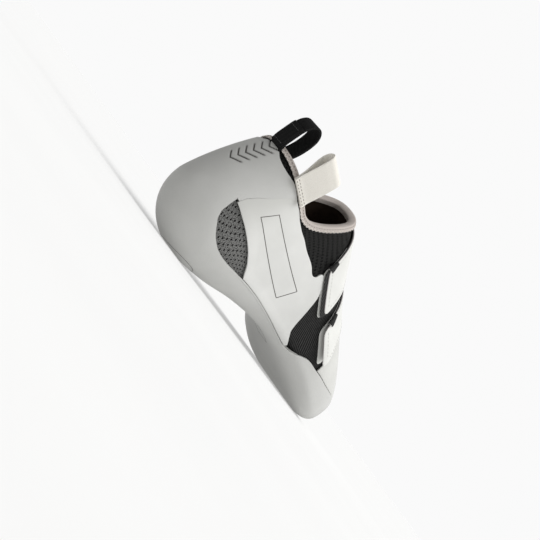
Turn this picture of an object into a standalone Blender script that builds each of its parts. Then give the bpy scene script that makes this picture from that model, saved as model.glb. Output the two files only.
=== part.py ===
"""Climbing shoe for the right foot: moulded rubber sole, sock upper, two hook-and-loop straps.

The toe points along +X, the inner side of the foot lies at +Y, and the sole stands on z = 0.
Every piece is cut from one form, the outside of the shoe, at a depth below it or a height above it.
Lengths are in millimetres until a mesh is made, and MM turns them into metres.
"""

import math

import bmesh
import bpy
import numpy as np

MM = 0.001
GAP = 0.3

# The form: x from the back of the heel, y to the inner side, z from the lowest point of the sole.
# sole is the middle of the sole, outer and inner the widest line of either side, and ridge the top line
# of the instep, carried on upwards behind the collar, where it is cut away.
# edge is the roundness of the sole's border and arch that of the instep: 2 is an ellipse, higher is squarer.
FORM_COLUMNS = ("x", "sole_z", "sole_y", "outer_y", "outer_z", "inner_y", "inner_z",
                "ridge_y", "ridge_z", "edge", "arch")
FORM_ROWS = (
    (45, 0.0, 0, -31.0, 33, 31.0, 33, 0, 150, 2.3, 2.0),
    (70, 4.0, 0, -29.5, 32, 28.0, 34, 0, 138, 2.4, 2.1),
    (95, 11.0, -1, -30.0, 33, 25.0, 38, 1, 120, 2.6, 2.3),
    (120, 15.5, -2, -34.5, 32, 27.0, 38, 2, 101, 2.8, 2.5),
    (145, 16.0, -2, -42.0, 29, 33.0, 34, 4, 80, 3.0, 2.4),
    (165, 12.5, -1, -46.0, 25, 42.0, 28, 6, 68.5, 3.1, 2.3),
    (188, 6.0, 3, -44.5, 20, 53.0, 22, 9, 58, 3.2, 2.2),
    (205, 1.5, 6, -40.0, 18, 55.0, 19, 12, 50, 3.2, 2.2),
    (222, 0.0, 9, -31.5, 16, 48.0, 17, 14, 43, 3.2, 2.2),
)
FORM = {name: np.array([row[i] for row in FORM_ROWS], float) for i, name in enumerate(FORM_COLUMNS)}
# Behind HEEL_X and before TOE_X the sections turn round the heel and the toe.
HEEL_X = 45.0
TOE_X = 222.0
# The form is sunk this far into the floor and cut off there, which leaves the flat spots that it stands on.
STAND = 1.2

# The heel's middle section: how far back it reaches at its widest and at the collar, and those heights.
HEEL_REACH = 43.0
HEEL_WIDE_Z = 36.0
HEEL_EDGE = 2.2
HEEL_TOP_REACH = 19.0
HEEL_TOP_Z = 93.0
HEEL_LEAN = 1.32

# The toe's middle section, how far its tip lies to the inner side, and how pointed it is from above.
TOE_REACH = 39.5
TOE_WIDE_Z = 14.0
TOE_EDGE = 2.6
TOE_DOME = 2.2
TOE_SHIFT = 4.0
TOE_POINT = 1.14
LEAN_RAMP = 0.3

# The collar's top edge along the side; the opening ends in front at the last row.
COLLAR_ROWS = ((45, 84), (54, 81.5), (62, 79), (70, 79.5), (80, 84.5), (92, 93.5), (102, 102), (110, 109))
FRONT_X = COLLAR_ROWS[-1][0]

# How far up the side the rubber reaches: 0 middle of the sole, 1 widest line, 2 collar or ridge.
RAND_ROWS = ((0, 1.05), (24, 1.05), (36, 0.88), (48, 0.80), (70, 0.84), (98, 0.85), (122, 0.80),
             (137, 0.81), (150, 1.00), (165, 1.06), (188, 1.12), (222, 1.18), (265, 1.20))
# The heel cup and the side panels end just below the collar.
SHELL_TOP = 1.88

# Side panels: the lower edge frames the window behind, the upper edge the throat.
# The outer one runs on up to the end of the upper strap. Each has stations of its own near its front end.
PANEL_LOW_ROWS = ((22, 1.32), (36, 1.25), (48, 1.15), (58, 1.05), (67, 0.95), (73, 0.86))
PANEL_TOP_OUTER = ((20, 1.88), (58, 1.88), (66, 1.86), (75, 1.775), (88, 1.60), (100, 1.465), (106, 1.385),
                   (109, 1.368), (112, 1.37), (116, 1.345), (120, 1.315), (122.5, 1.275), (124.5, 1.19),
                   (127, 1.06), (131, 0.95), (136, 0.87))
PANEL_TOP_INNER = ((20, 1.88), (58, 1.88), (66, 1.86), (78, 1.78), (92, 1.64), (106, 1.46),
                   (112, 1.44), (122, 1.40), (127, 1.10), (136, 0.90))
PANEL_STEPS_OUTER = (109.0, 112.0, 116.0, 120.0, 122.5, 124.5, 127.0, 131.0, 136.0)
PANEL_STEPS_INNER = (122.0, 124.5, 131.5, 136.0)
PANEL_ROWS = 7
PANEL_LEAST = 0.05
SEAM = 0.012

SOLE_THICK = 4.2
RAND_THICK = 2.0
UPPER_THICK = 1.6
PANEL_THICK = 1.1
INSOLE_THICK = 2.5
TAPE_THICK = 0.8
BINDING_LEG = 3.0
BINDING_SLACK = 1.0

# Straps: x of the middle line at the outer end, over the ridge and at the inner end,
# how far down the side the corners of the outer end and the inner end reach,
# how far the outer end stands off, and whether the inner end is sewn on over the side panel.
STRAP_COLUMNS = ("name", "outer_x", "ridge_x", "inner_x", "width",
                 "rear_v", "front_v", "inner_v", "lift", "over_panel")
STRAP_ROWS = (
    ("strap_upper", 123.0, 127.0, 126.0, 24.0, 1.42, 1.24, 1.10, 0.6, True),
    ("strap_lower", 153.0, 153.0, 150.0, 21.0, 1.24, 1.10, 1.12, 3.0, False),
)
STRAP_THICK = 2.0
STRAP_STEPS = 16
STRAP_LANES = 3
STRAP_FREE = 0.28
STRAP_CLIMB = (0.28, 0.50)

PATCH_BACK_X = 166.0

# Heel loop: webbing from the back of the heel cup over the collar's edge to the inside of the heel.
# Rows here and for the tab are the tape's section, as (out, up) from the collar's edge.
HEEL_LOOP_WIDTH = 12.0
HEEL_LOOP_THICK = 1.6
HEEL_LOOP_ROWS = ((7.95, -11.2), (6.45, -8.4), (4.9, -5.6), (3.6, -2.4), (3.1, 1.0), (2.9, 5.0), (2.8, 9.5),
                  (2.5, 14.0), (1.2, 18.6), (-1.6, 22.0), (-4.8, 22.9), (-8.0, 21.6), (-10.4, 18.4),
                  (-11.3, 14.0), (-11.3, 9.0), (-10.6, 4.0), (-9.2, -0.6), (-7.3, -4.4), (-5.2, -7.4),
                  (-2.9, -9.2), (-0.7, -10.5), (0.7, -12.3), (2.0, -14.6))

# Pull tab: tape folded double on the outer side of the heel.
TAB_X = 34.0
TAB_WIDTH = 19.0
TAB_THICK = 1.0
TAB_LEAN = math.radians(14)
# The tab's foot and crest slope down towards the toe, as the collar does there.
TAB_SLOPE = math.radians(20)
TAB_ROWS = ((0.7, -3.5), (0.7, 0.0), (-0.6, 5.0), (-3.0, 11.0), (-5.0, 16.0), (-5.7, 19.5), (-4.8, 22.4),
            (-2.5, 24.0), (0.2, 24.2), (2.2, 22.4), (2.9, 18.5), (2.9, 12.0), (2.6, 6.0), (2.3, 0.0), (2.3, -3.5))

# Grid of the form: stations around the shoe and rows from the middle of the sole to the collar.
FRONT_STEPS = 13
REAR_STEPS = 14
HEEL_STEPS = 14
TOE_STEPS = 12
RAND_ROW = 7
SHELL_ROW = 14
TOP_ROW = 15
OPEN_ROW = 5
INSOLE_STEPS = 3
FINE = 80
# Directions out of the form are taken over these steps: along the side, round an end and up the section.
STEP_ALONG = 0.4
STEP_ROUND = 0.01
STEP_UP = 0.02
# Height of a line that lies inside the form everywhere.
CORE_Z = 40.0
# The sole's thickness fades into the rand's over this share of the height.
EDGE_FADE = 0.35

# The heel cup's side edge lies on one of the heel's stations, and the panels end just short of it.
HEEL_CUP_TURN = 3 * math.pi / HEEL_STEPS
CUP_SEAM = math.radians(0.6)


def smooth(rows, x):
    """Height of a smooth curve through (x, value) rows."""
    xs = np.array([row[0] for row in rows], float)
    ys = np.array([row[1] for row in rows], float)
    slope = np.gradient(ys, xs)
    i = int(np.clip(np.searchsorted(xs, x) - 1, 0, len(xs) - 2))
    step = xs[i + 1] - xs[i]
    s = min(max((x - xs[i]) / step, 0.0), 1.0)
    start = (2 * s**3 - 3 * s**2 + 1) * ys[i] + (s**3 - 2 * s**2 + s) * step * slope[i]
    end = (3 * s**2 - 2 * s**3) * ys[i + 1] + (s**3 - s**2) * step * slope[i + 1]
    return start + end


def form(name, x):
    return smooth(np.stack([FORM["x"], FORM[name]], 1), x)


def ease(s):
    s = min(max(s, 0.0), 1.0)
    return s * s * (3 - 2 * s)


def even(points):
    """The curve again, with FINE steps of equal length."""
    run = np.concatenate([[0], np.cumsum(np.linalg.norm(np.diff(points, axis=0), axis=1))])
    at = np.linspace(0, run[-1], FINE + 1)
    return np.stack([np.interp(at, run, points[:, k]) for k in range(points.shape[1])], 1)


def under_curve(reach, low, high, edge):
    """Quarter of a rounded box, from the middle of the sole out to the widest line."""
    t = np.linspace(0, math.pi / 2, 4 * FINE)
    out = reach * np.sin(t) ** (2 / edge)
    up = high - (high - low) * np.cos(t).clip(0) ** (2 / edge)
    return even(np.stack([out, up], 1))


def over_curve(reach, low, high, power, stop):
    """Quarter arch from the widest line towards the ridge, cut off at a share of its turn."""
    t = np.linspace(0, math.pi / 2 * stop, 4 * FINE)
    out = reach * np.cos(t).clip(0) ** (2 / power)
    up = low + (high - low) * np.sin(t) ** (2 / power)
    return even(np.stack([out, up], 1))


def length_of(points):
    return np.linalg.norm(np.diff(points, axis=0), axis=1).sum()


def side_profile(x, side, cut=True):
    """Half section across the foot and the share of its arch that the collar leaves.

    side -1 is the outer half, 1 the inner half.
    """
    half = "outer" if side < 0 else "inner"
    wide_y = form(half + "_y", x)
    wide_z = form(half + "_z", x)
    sole_y = form("sole_y", x)
    ridge_y = form("ridge_y", x)
    ridge_z = form("ridge_z", x)
    under = under_curve(abs(wide_y - sole_y), form("sole_z", x), wide_z, form("edge", x))
    whole = over_curve(abs(wide_y - ridge_y), wide_z, ridge_z, form("arch", x), 1.0)
    over = whole
    if cut and x < FRONT_X:
        share = (smooth(COLLAR_ROWS, x) - wide_z) / (ridge_z - wide_z)
        stop = math.asin(min(share, 1.0) ** (form("arch", x) / 2)) / (math.pi / 2)
        over = over_curve(abs(wide_y - ridge_y), wide_z, ridge_z, form("arch", x), stop)
    y = np.concatenate([sole_y + side * under[:, 0], ridge_y + side * over[1:, 0]])
    z = np.concatenate([under[:, 1], over[1:, 1]])
    return np.stack([np.full_like(y, x), y, z], 1), length_of(over) / length_of(whole)


def back_profile():
    """Middle section of the heel behind HEEL_X, as (reach, z)."""
    under = under_curve(HEEL_REACH, 0, HEEL_WIDE_Z, HEEL_EDGE)
    turn = math.acos((HEEL_TOP_REACH / HEEL_REACH) ** (HEEL_LEAN / 2))
    high = HEEL_WIDE_Z + (HEEL_TOP_Z - HEEL_WIDE_Z) / math.sin(turn) ** (2 / HEEL_LEAN)
    over = over_curve(HEEL_REACH, HEEL_WIDE_Z, high, HEEL_LEAN, turn / (math.pi / 2))
    return np.concatenate([under, over[1:]])


def front_profile():
    """Middle section of the toe before TOE_X, as (reach, z), going on down the slope of the ridge."""
    under = under_curve(TOE_REACH, 0, TOE_WIDE_Z, TOE_EDGE)
    over = over_curve(TOE_REACH, TOE_WIDE_Z, form("ridge_z", TOE_X), TOE_DOME, 1.0)
    slope = form("ridge_z", TOE_X) - form("ridge_z", TOE_X - 1)
    over[:, 1] += slope * over[:, 0] * (1 - over[:, 0] / TOE_REACH)
    return np.concatenate([under, over[1:]])


BACK = back_profile()
FRONT = front_profile()
ABOVE = np.concatenate([np.zeros(FINE), np.linspace(0, 1, FINE + 1)])


def end_section(x, inward, side):
    """The half section at an end of the sides, and how it goes on for each millimetre past that end."""
    here, _ = side_profile(x, side)
    before, _ = side_profile(x + inward, side)
    going = here - before
    going[:, 2] *= np.minimum(ABOVE / LEAN_RAMP, 1)
    return here, going


def heel_profile(turn):
    """Section round the heel, from the outer side at 0 over the back to the inner side at pi."""
    side, going = end_section(HEEL_X, 1, -1 if turn <= math.pi / 2 else 1)
    c = abs(math.cos(turn))
    s = math.sin(turn)
    run = BACK[:, 0] * s
    y = side[:, 1] * c + going[:, 1] * run * c * c
    z = side[:, 2] * c * c + BACK[:, 1] * s * s + going[:, 2] * run * c * c
    return np.stack([HEEL_X - run, y, z], 1)


def toe_profile(turn):
    """Section round the toe, from the inner side at 0 over the tip to the outer side at pi."""
    side, going = end_section(TOE_X, -1, 1 if turn <= math.pi / 2 else -1)
    c = abs(math.cos(turn)) ** TOE_POINT
    s = math.sin(turn) ** TOE_POINT
    run = FRONT[:, 0] * s
    axis_y = form("sole_y", TOE_X) + (form("ridge_y", TOE_X) - form("sole_y", TOE_X)) * ABOVE
    y = axis_y + (side[:, 1] - axis_y) * c + going[:, 1] * run * c * c
    y += TOE_SHIFT * s * s * FRONT[:, 0] / TOE_REACH
    z = FRONT[:, 1] * s * s + side[:, 2] * (1 - s * s) + going[:, 2] * run * c * c
    return np.stack([TOE_X + run, y, z], 1)


def rear_places():
    """Places along the side behind the throat, evenly spaced along the collar's edge."""
    xs = FRONT_X + (HEEL_X - FRONT_X) * np.linspace(0, 1, 4 * FINE) ** 3
    edge = np.array([side_profile(x, -1)[0][-1] for x in xs])
    run = np.concatenate([[0], np.cumsum(np.linalg.norm(np.diff(edge, axis=0), axis=1))])
    return list(np.interp(np.linspace(0, run[-1], REAR_STEPS + 1)[1:], run, xs))


def stations():
    """(kind, place, side) all round: outer side to the heel, heel, inner side to the toe, toe."""
    front = [TOE_X + (FRONT_X - TOE_X) * k / FRONT_STEPS for k in range(FRONT_STEPS + 1)]
    xs = front + rear_places()
    ring = [("side", x, -1) for x in xs]
    ring += [("heel", math.pi * k / HEEL_STEPS, 0) for k in range(1, HEEL_STEPS)]
    ring += [("side", x, 1) for x in reversed(xs)]
    ring += [("toe", math.pi * k / TOE_STEPS, 0) for k in range(1, TOE_STEPS)]
    return ring


RING = stations()


def sample(points, v):
    at = np.clip(np.asarray(v, float), 0, 2) * FINE
    steps = np.arange(2 * FINE + 1)
    return np.stack([np.interp(at, steps, points[:, k]) for k in range(3)], -1)


def surface(station, v):
    """Points on the form at heights v, and the directions out of it."""
    kind, at, side = station
    v = np.asarray(v, float)
    if kind == "side":
        here, share = side_profile(at, side)
        points = sample(here, v)
        before, _ = side_profile(max(at - STEP_ALONG, HEEL_X), side, cut=False)
        after, _ = side_profile(min(at + STEP_ALONG, TOE_X), side, cut=False)
        here, _ = side_profile(at, side, cut=False)
        v = np.where(v > 1, 1 + (v - 1) * share, v)
    else:
        turned = heel_profile if kind == "heel" else toe_profile
        here = turned(at)
        points = sample(here, v)
        before = turned(at - STEP_ROUND)
        after = turned(at + STEP_ROUND)
    along = sample(after, v) - sample(before, v)
    up = sample(here, v + STEP_UP) - sample(here, v - STEP_UP)
    out = np.cross(along, up)
    length = np.linalg.norm(out, axis=1, keepdims=True)
    upright = np.stack([np.zeros_like(v), np.zeros_like(v), np.where(v < 1, -1.0, 1.0)], 1)
    out = np.where(length > 1e-6, out / np.maximum(length, 1e-9), upright)
    middle = np.array([min(max(station_x(station), HEEL_X), TOE_X), 0, CORE_Z])
    flip = np.sum(out * (points - middle), axis=1, keepdims=True) < 0
    return points, np.where(flip, -out, out)


def station_x(station):
    """Where a station's widest line lies along the shoe."""
    kind, at, _ = station
    if kind == "side":
        return at
    return HEEL_X - HEEL_REACH * math.sin(at) if kind == "heel" else TOE_X + TOE_REACH * math.sin(at)


def rubber_depth(v):
    return RAND_THICK + (SOLE_THICK - RAND_THICK) * ease((1.0 - v) / EDGE_FADE)


def grid_heights(station):
    """The height of each row at one station: sole rows, shell rows and the collar row."""
    rand = smooth(RAND_ROWS, station_x(station))
    heights = [rand * j / RAND_ROW for j in range(RAND_ROW + 1)]
    shell_steps = SHELL_ROW - RAND_ROW
    heights += [rand + (SHELL_TOP - rand) * k / shell_steps for k in range(1, shell_steps + 1)]
    return np.array(heights + [2.0])


HEIGHTS = [grid_heights(station) for station in RING]


def sheet(ring, heights):
    """Points of the form and directions out of it, a row for each station."""
    pairs = [surface(station, v) for station, v in zip(ring, heights)]
    points = np.array([pair[0] for pair in pairs]) - np.array([0, 0, STAND])
    return points, np.array([pair[1] for pair in pairs])


def depths(heights, rule):
    return np.array([[rule(v) for v in row] for row in heights])


def material(name, colour, roughness):
    made = bpy.data.materials.new(name)
    made.use_nodes = True
    shader = made.node_tree.nodes["Principled BSDF"]
    shader.inputs["Base Color"].default_value = (*colour, 1.0)
    shader.inputs["Roughness"].default_value = roughness
    return made


def add_object(name, bm, finish):
    """Close a bmesh into a named object with its finish."""
    bmesh.ops.remove_doubles(bm, verts=bm.verts, dist=1e-5)
    bmesh.ops.dissolve_degenerate(bm, edges=bm.edges, dist=1e-6)
    bmesh.ops.recalc_face_normals(bm, faces=bm.faces)
    if bm.calc_volume(signed=True) < 0:
        bmesh.ops.reverse_faces(bm, faces=bm.faces)
    mesh = bpy.data.meshes.new(name)
    bm.to_mesh(mesh)
    bm.free()
    mesh.shade_smooth()
    mesh.set_sharp_from_angle(angle=math.radians(40))
    mesh.materials.append(finish)
    made = bpy.data.objects.new(name, mesh)
    bpy.context.scene.collection.objects.link(made)
    return made


def wall(name, points, out, outer_depth, inner_depth, cells, finish):
    """A solid between two depths below the form, over the cells (station, row) that belong to it.

    Each cell is two triangles, split the same way in every piece, so that neighbours keep their gap.
    """
    count = len(points)
    places = {}
    for i, j in cells:
        for corner in ((i, j), ((i + 1) % count, j), ((i + 1) % count, j + 1), (i, j + 1)):
            places.setdefault(tuple(np.round(points[corner], 2)), {})[corner] = None
    bm = bmesh.new()
    verts = {}
    for corners in places.values():
        away = np.sum([out[corner] for corner in corners], axis=0)
        away /= np.linalg.norm(away)
        at = next(iter(corners))
        outer = points[at] - away * outer_depth[at]
        outer[2] = max(outer[2], 0)
        inner = points[at] - away * inner_depth[at]
        pair = (bm.verts.new(outer * MM), bm.verts.new(inner * MM))
        verts.update(dict.fromkeys(corners, pair))
    for i, j in cells:
        k = (i + 1) % count
        pairs = list(dict.fromkeys((verts[i, j], verts[k, j], verts[k, j + 1], verts[i, j + 1])))
        for b, c in zip(pairs[1:], pairs[2:]):
            bm.faces.new((pairs[0][0], b[0], c[0]))
            bm.faces.new((pairs[0][1], c[1], b[1]))
    inner_of = dict(verts.values())
    for edge in [e for e in bm.edges if len(e.link_faces) == 1 and e.verts[0] in inner_of]:
        a, b = edge.verts
        bm.faces.new((a, b, inner_of[b], inner_of[a]))
    return add_object(name, bm, finish)


def band(name, path, across, width, thick, finish):
    """A flat band along a path: across is the direction of its width."""
    path = np.asarray(path, float)
    ahead = np.gradient(path, axis=0)
    out = np.cross(ahead, across)
    out /= np.linalg.norm(out, axis=1, keepdims=True)
    corners = ((1, 1), (-1, 1), (-1, -1), (1, -1))
    bm = bmesh.new()
    rings = []
    for p, n in zip(path, out):
        spots = [p + across * width / 2 * s + n * thick / 2 * t for s, t in corners]
        rings.append([bm.verts.new(spot * MM) for spot in spots])
    for here, there in zip(rings, rings[1:]):
        for c in range(len(corners)):
            n = (c + 1) % len(corners)
            bm.faces.new((here[c], here[n], there[n], there[c]))
    bm.faces.new(rings[0])
    bm.faces.new(list(reversed(rings[-1])))
    return add_object(name, bm, finish)


def in_heel_cup(i):
    kind, at, _ = RING[i]
    return kind == "heel" and abs(at - math.pi / 2) <= math.pi / 2 - HEEL_CUP_TURN + 1e-6


def build_sole(finish):
    """Moulded rubber: sole, rand round the foot and heel cup in one."""
    points, out = sheet(RING, HEIGHTS)
    cells = [(i, j) for i in range(len(RING)) for j in range(RAND_ROW)]
    cup = [i for i in range(len(RING)) if in_heel_cup(i) and in_heel_cup((i + 1) % len(RING))]
    cells += [(i, j) for i in cup for j in range(RAND_ROW, SHELL_ROW)]
    deep = depths(HEIGHTS, rubber_depth)
    return wall("sole", points, out, 0 * deep, deep, cells, finish)


def upper_face(v):
    return rubber_depth(v) + GAP


def build_upper(finish):
    """Sock of knit cloth round the foot, open at the collar and under the foot."""
    points, out = sheet(RING, HEIGHTS)
    cells = [(i, j) for i in range(len(RING)) for j in range(OPEN_ROW, TOP_ROW)]
    face = depths(HEIGHTS, upper_face)
    return wall("upper", points, out, face, face + UPPER_THICK, cells, finish)


def build_insole(finish):
    """Footbed lying in the sole, inside the upper's lower edge."""
    heights = [np.linspace(0, v[OPEN_ROW] - SEAM, INSOLE_STEPS + 1) for v in HEIGHTS]
    points, out = sheet(RING, heights)
    cells = [(i, j) for i in range(len(RING)) for j in range(len(heights[0]) - 1)]
    face = depths(heights, upper_face) + GAP
    return wall("insole", points, out, face, face + INSOLE_THICK, cells, finish)


def panel_stations(side, steps):
    """Stations of one side panel, from its front end back to the heel cup."""
    ring_xs = {s[1] for s in RING if s[0] == "side" and s[1] < steps[-1]}
    xs = sorted(ring_xs | set(steps), reverse=True)
    ring = [("side", x, side) for x in xs]
    edge_turn = HEEL_CUP_TURN - CUP_SEAM
    step = math.pi / HEEL_STEPS
    inner_turns = [k * step for k in range(1, HEEL_STEPS) if k * step < edge_turn] + [edge_turn]
    return ring + [("heel", t if side < 0 else math.pi - t, 0) for t in inner_turns]


def cover(name, ring, heights, finish):
    """A thin panel lying on the upper, from the first station to the last."""
    points, out = sheet(ring, heights)
    cells = [(i, j) for i in range(len(ring) - 1) for j in range(len(heights[0]) - 1)]
    back = depths(heights, lambda v: RAND_THICK)
    return wall(name, points, out, back - PANEL_THICK, back, cells, finish)


def build_panel(name, side, top_rows, steps, finish):
    """Smooth synthetic panel over one side of the sock, behind the throat."""
    ring = panel_stations(side, steps)
    heights = []
    for station in ring:
        x = station_x(station)
        low = smooth(RAND_ROWS, x) + SEAM
        if x < PANEL_LOW_ROWS[-1][0]:
            low = max(low, smooth(PANEL_LOW_ROWS, x))
        top = max(smooth(top_rows, x), low + PANEL_LEAST)
        heights.append(np.linspace(low, top, PANEL_ROWS + 1))
    return cover(name, ring, heights, finish)


def build_toe_patch(finish):
    """Rubber patch over the top of the toes, inside the rand's upper edge."""
    sides = sorted({s[1] for s in RING if s[0] == "side" and s[1] > PATCH_BACK_X})
    inner = [("side", x, 1) for x in [PATCH_BACK_X] + sides]
    outer = [("side", x, -1) for x in reversed([PATCH_BACK_X] + sides)]
    ring = inner + [s for s in RING if s[0] == "toe"] + outer
    heights = [grid_heights(station)[RAND_ROW:] for station in ring]
    for row in heights:
        row[0] += SEAM
    return cover("toe_patch", ring, heights, finish)


def collar_ring():
    """The stations along the collar, from its front end round the heel and back."""
    rear = [s for s in RING if s[0] == "side" and s[1] < FRONT_X]
    outer = [s for s in rear if s[2] < 0]
    inner = [s for s in rear if s[2] > 0]
    heel = [s for s in RING if s[0] == "heel"]
    return [("side", FRONT_X, -1)] + outer + heel + inner


def build_binding(finish):
    """Tape folded over the collar's edge, with one leg outside and one inside."""
    face = RAND_THICK + GAP - BINDING_SLACK
    back = RAND_THICK + GAP + UPPER_THICK + BINDING_SLACK
    fold = GAP + TAPE_THICK
    section = (
        (face - TAPE_THICK, BINDING_LEG), (face - TAPE_THICK, -GAP), (face, -fold), (back, -fold),
        (back + TAPE_THICK, -GAP), (back + TAPE_THICK, BINDING_LEG),
        (back, BINDING_LEG), (back, -GAP), (face, -GAP), (face, BINDING_LEG),
    )
    ring = collar_ring()
    edge, out = (np.array(part) for part in zip(*[
        [part[0] for part in surface(station, np.array([2.0]))] for station in ring]))
    edge -= np.array([0, 0, STAND])
    along = np.roll(edge, -1, axis=0) - np.roll(edge, 1, axis=0)
    along /= np.linalg.norm(along, axis=1, keepdims=True)
    out -= along * np.sum(out * along, axis=1, keepdims=True)
    out /= np.linalg.norm(out, axis=1, keepdims=True)
    down = np.cross(along, out)
    down *= np.where(down[:, 2:] > 0, -1, 1)
    bm = bmesh.new()
    loops = []
    for e, o, d in zip(edge, out, down):
        loops.append([bm.verts.new((e - o * depth + d * drop) * MM) for depth, drop in section])
    for here, there in zip(loops, loops[1:] + loops[:1]):
        for c in range(len(section)):
            n = (c + 1) % len(section)
            bm.faces.new((here[c], here[n], there[n], there[c]))
    return add_object("collar_binding", bm, finish)


def build_strap(row, finish):
    """Hook-and-loop strap over the instep: sewn on at the inner side, its free end lifted a little."""
    strap = dict(zip(STRAP_COLUMNS, row))
    bend = (strap["outer_x"] + strap["inner_x"]) / 2 - strap["ridge_x"]
    slant = (strap["inner_x"] - strap["outer_x"]) / 2
    points = np.zeros((STRAP_STEPS + 1, STRAP_LANES + 1, 3))
    out = np.zeros_like(points)
    under = np.zeros((STRAP_STEPS + 1, STRAP_LANES + 1))
    for k in range(STRAP_STEPS + 1):
        s = 2 * k / STRAP_STEPS - 1
        lift = strap["lift"] * ease((-s - 1 + STRAP_FREE) / STRAP_FREE)
        climb = ease((s - STRAP_CLIMB[0]) / (STRAP_CLIMB[1] - STRAP_CLIMB[0])) * strap["over_panel"]
        under[k] = RAND_THICK - (PANEL_THICK + GAP) * climb - lift
        for lane in range(STRAP_LANES + 1):
            ahead = lane / STRAP_LANES
            x = strap["ridge_x"] + bend * s * s + slant * s + strap["width"] * (ahead - 0.5)
            outer_v = strap["rear_v"] + (strap["front_v"] - strap["rear_v"]) * ahead
            v = 2 - (2 - (outer_v if s < 0 else strap["inner_v"])) * abs(s)
            here, away = surface(("side", x, -1 if s < 0 else 1), np.array([v]))
            points[k, lane] = here[0] - np.array([0, 0, STAND])
            out[k, lane] = away[0] if s else (0, 0, 1)
    cells = [(i, j) for i in range(STRAP_STEPS) for j in range(STRAP_LANES)]
    return wall(strap["name"], points, out, under - STRAP_THICK, under, cells, finish)


def collar_edge(turn):
    """The collar's edge at a heel turn, and the level direction out of the heel there."""
    points, out = surface(("heel", turn, 0), np.array([2.0]))
    level = out[0] * np.array([1, 1, 0])
    return points[0] - np.array([0, 0, STAND]), level / np.linalg.norm(level)


def build_heel_loop(finish):
    """Pull loop of webbing at the back of the heel, sewn on outside and inside the collar."""
    edge, level = collar_edge(math.pi / 2)
    up = np.array([0, 0, 1.0])
    path = [edge + level * away + up * rise for away, rise in HEEL_LOOP_ROWS]
    return band("heel_loop", path, np.cross(up, level), HEEL_LOOP_WIDTH, HEEL_LOOP_THICK, finish)


def build_tab(finish):
    """Pull tab of cotton tape, folded double and sewn on outside the collar."""
    foot, level = collar_edge(math.asin((HEEL_X - TAB_X) / HEEL_REACH))
    straight = np.array([0, 0, 1.0])
    leaning = straight * math.cos(TAB_LEAN) + level * math.sin(TAB_LEAN)
    path = []
    for away, rise in TAB_ROWS:
        path.append(foot + level * away + (leaning if rise > 0 else straight) * rise)
    across = np.cross(straight, level) * math.cos(TAB_SLOPE) - straight * math.sin(TAB_SLOPE)
    return band("pull_tab", path, across, TAB_WIDTH, TAB_THICK, finish)


def centre_on_floor(objects):
    """Put the origin under the middle of the shoe."""
    corners = np.array([v.co for made in objects for v in made.data.vertices])
    middle = (corners.min(axis=0) + corners.max(axis=0)) / 2
    for made in objects:
        for v in made.data.vertices:
            v.co.x -= middle[0]
            v.co.y -= middle[1]


def main():
    for old in list(bpy.data.objects):
        bpy.data.objects.remove(old, do_unlink=True)
    rubber = material("moulded_rubber", (0.42, 0.42, 0.40), 0.55)
    knit = material("black_knit", (0.02, 0.02, 0.02), 0.9)
    synthetic = material("smooth_synthetic", (0.66, 0.66, 0.64), 0.5)
    felt = material("footbed_felt", (0.16, 0.13, 0.10), 0.95)
    tape = material("grey_tape", (0.55, 0.51, 0.49), 0.85)
    webbing = material("black_webbing", (0.01, 0.01, 0.01), 0.8)
    cotton = material("cotton_tape", (0.74, 0.71, 0.64), 0.9)
    made = [build_sole(rubber), build_upper(knit), build_insole(felt)]
    made += [build_panel("panel_outer", -1, PANEL_TOP_OUTER, PANEL_STEPS_OUTER, synthetic)]
    made += [build_panel("panel_inner", 1, PANEL_TOP_INNER, PANEL_STEPS_INNER, synthetic)]
    made += [build_toe_patch(rubber), build_binding(tape)]
    made += [build_strap(row, synthetic) for row in STRAP_ROWS]
    made += [build_heel_loop(webbing), build_tab(cotton)]
    centre_on_floor(made)


main()
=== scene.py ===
"""Looks of the climbing shoe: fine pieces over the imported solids, materials, floor, light and camera.

The toe points along +X, the inner side of the foot lies at +Y and the floor is z = 0.
Every piece is laid over one form, the outside of the shoe, at a depth below it or a height above it.
Lengths are in millimetres until a mesh is made, and MM turns them into metres.
"""

import math

import bmesh
import bpy
import numpy as np
from mathutils import Matrix, Quaternion, Vector
from mathutils.bvhtree import BVHTree


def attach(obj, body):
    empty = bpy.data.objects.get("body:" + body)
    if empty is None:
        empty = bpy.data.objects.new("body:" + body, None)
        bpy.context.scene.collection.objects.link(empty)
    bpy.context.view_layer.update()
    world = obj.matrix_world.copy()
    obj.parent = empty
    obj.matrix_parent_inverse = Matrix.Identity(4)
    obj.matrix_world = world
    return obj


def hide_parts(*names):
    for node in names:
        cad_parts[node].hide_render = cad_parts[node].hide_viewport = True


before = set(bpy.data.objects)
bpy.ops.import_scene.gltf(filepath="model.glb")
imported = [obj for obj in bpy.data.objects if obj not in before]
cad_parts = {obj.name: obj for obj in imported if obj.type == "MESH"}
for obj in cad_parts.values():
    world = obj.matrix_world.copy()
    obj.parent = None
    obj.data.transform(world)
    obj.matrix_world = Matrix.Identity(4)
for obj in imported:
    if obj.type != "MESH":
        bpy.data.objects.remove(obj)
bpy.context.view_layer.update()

MM = 0.001
GAP = 0.3
WELD = 0.002
TINY = 1e-6
UP = np.array([0, 0, 1.0])
# Where the origin lies in the form's own measure: under the middle of the shoe.
ORIGIN = np.array([131.944, 3.302, 1.2])

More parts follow.
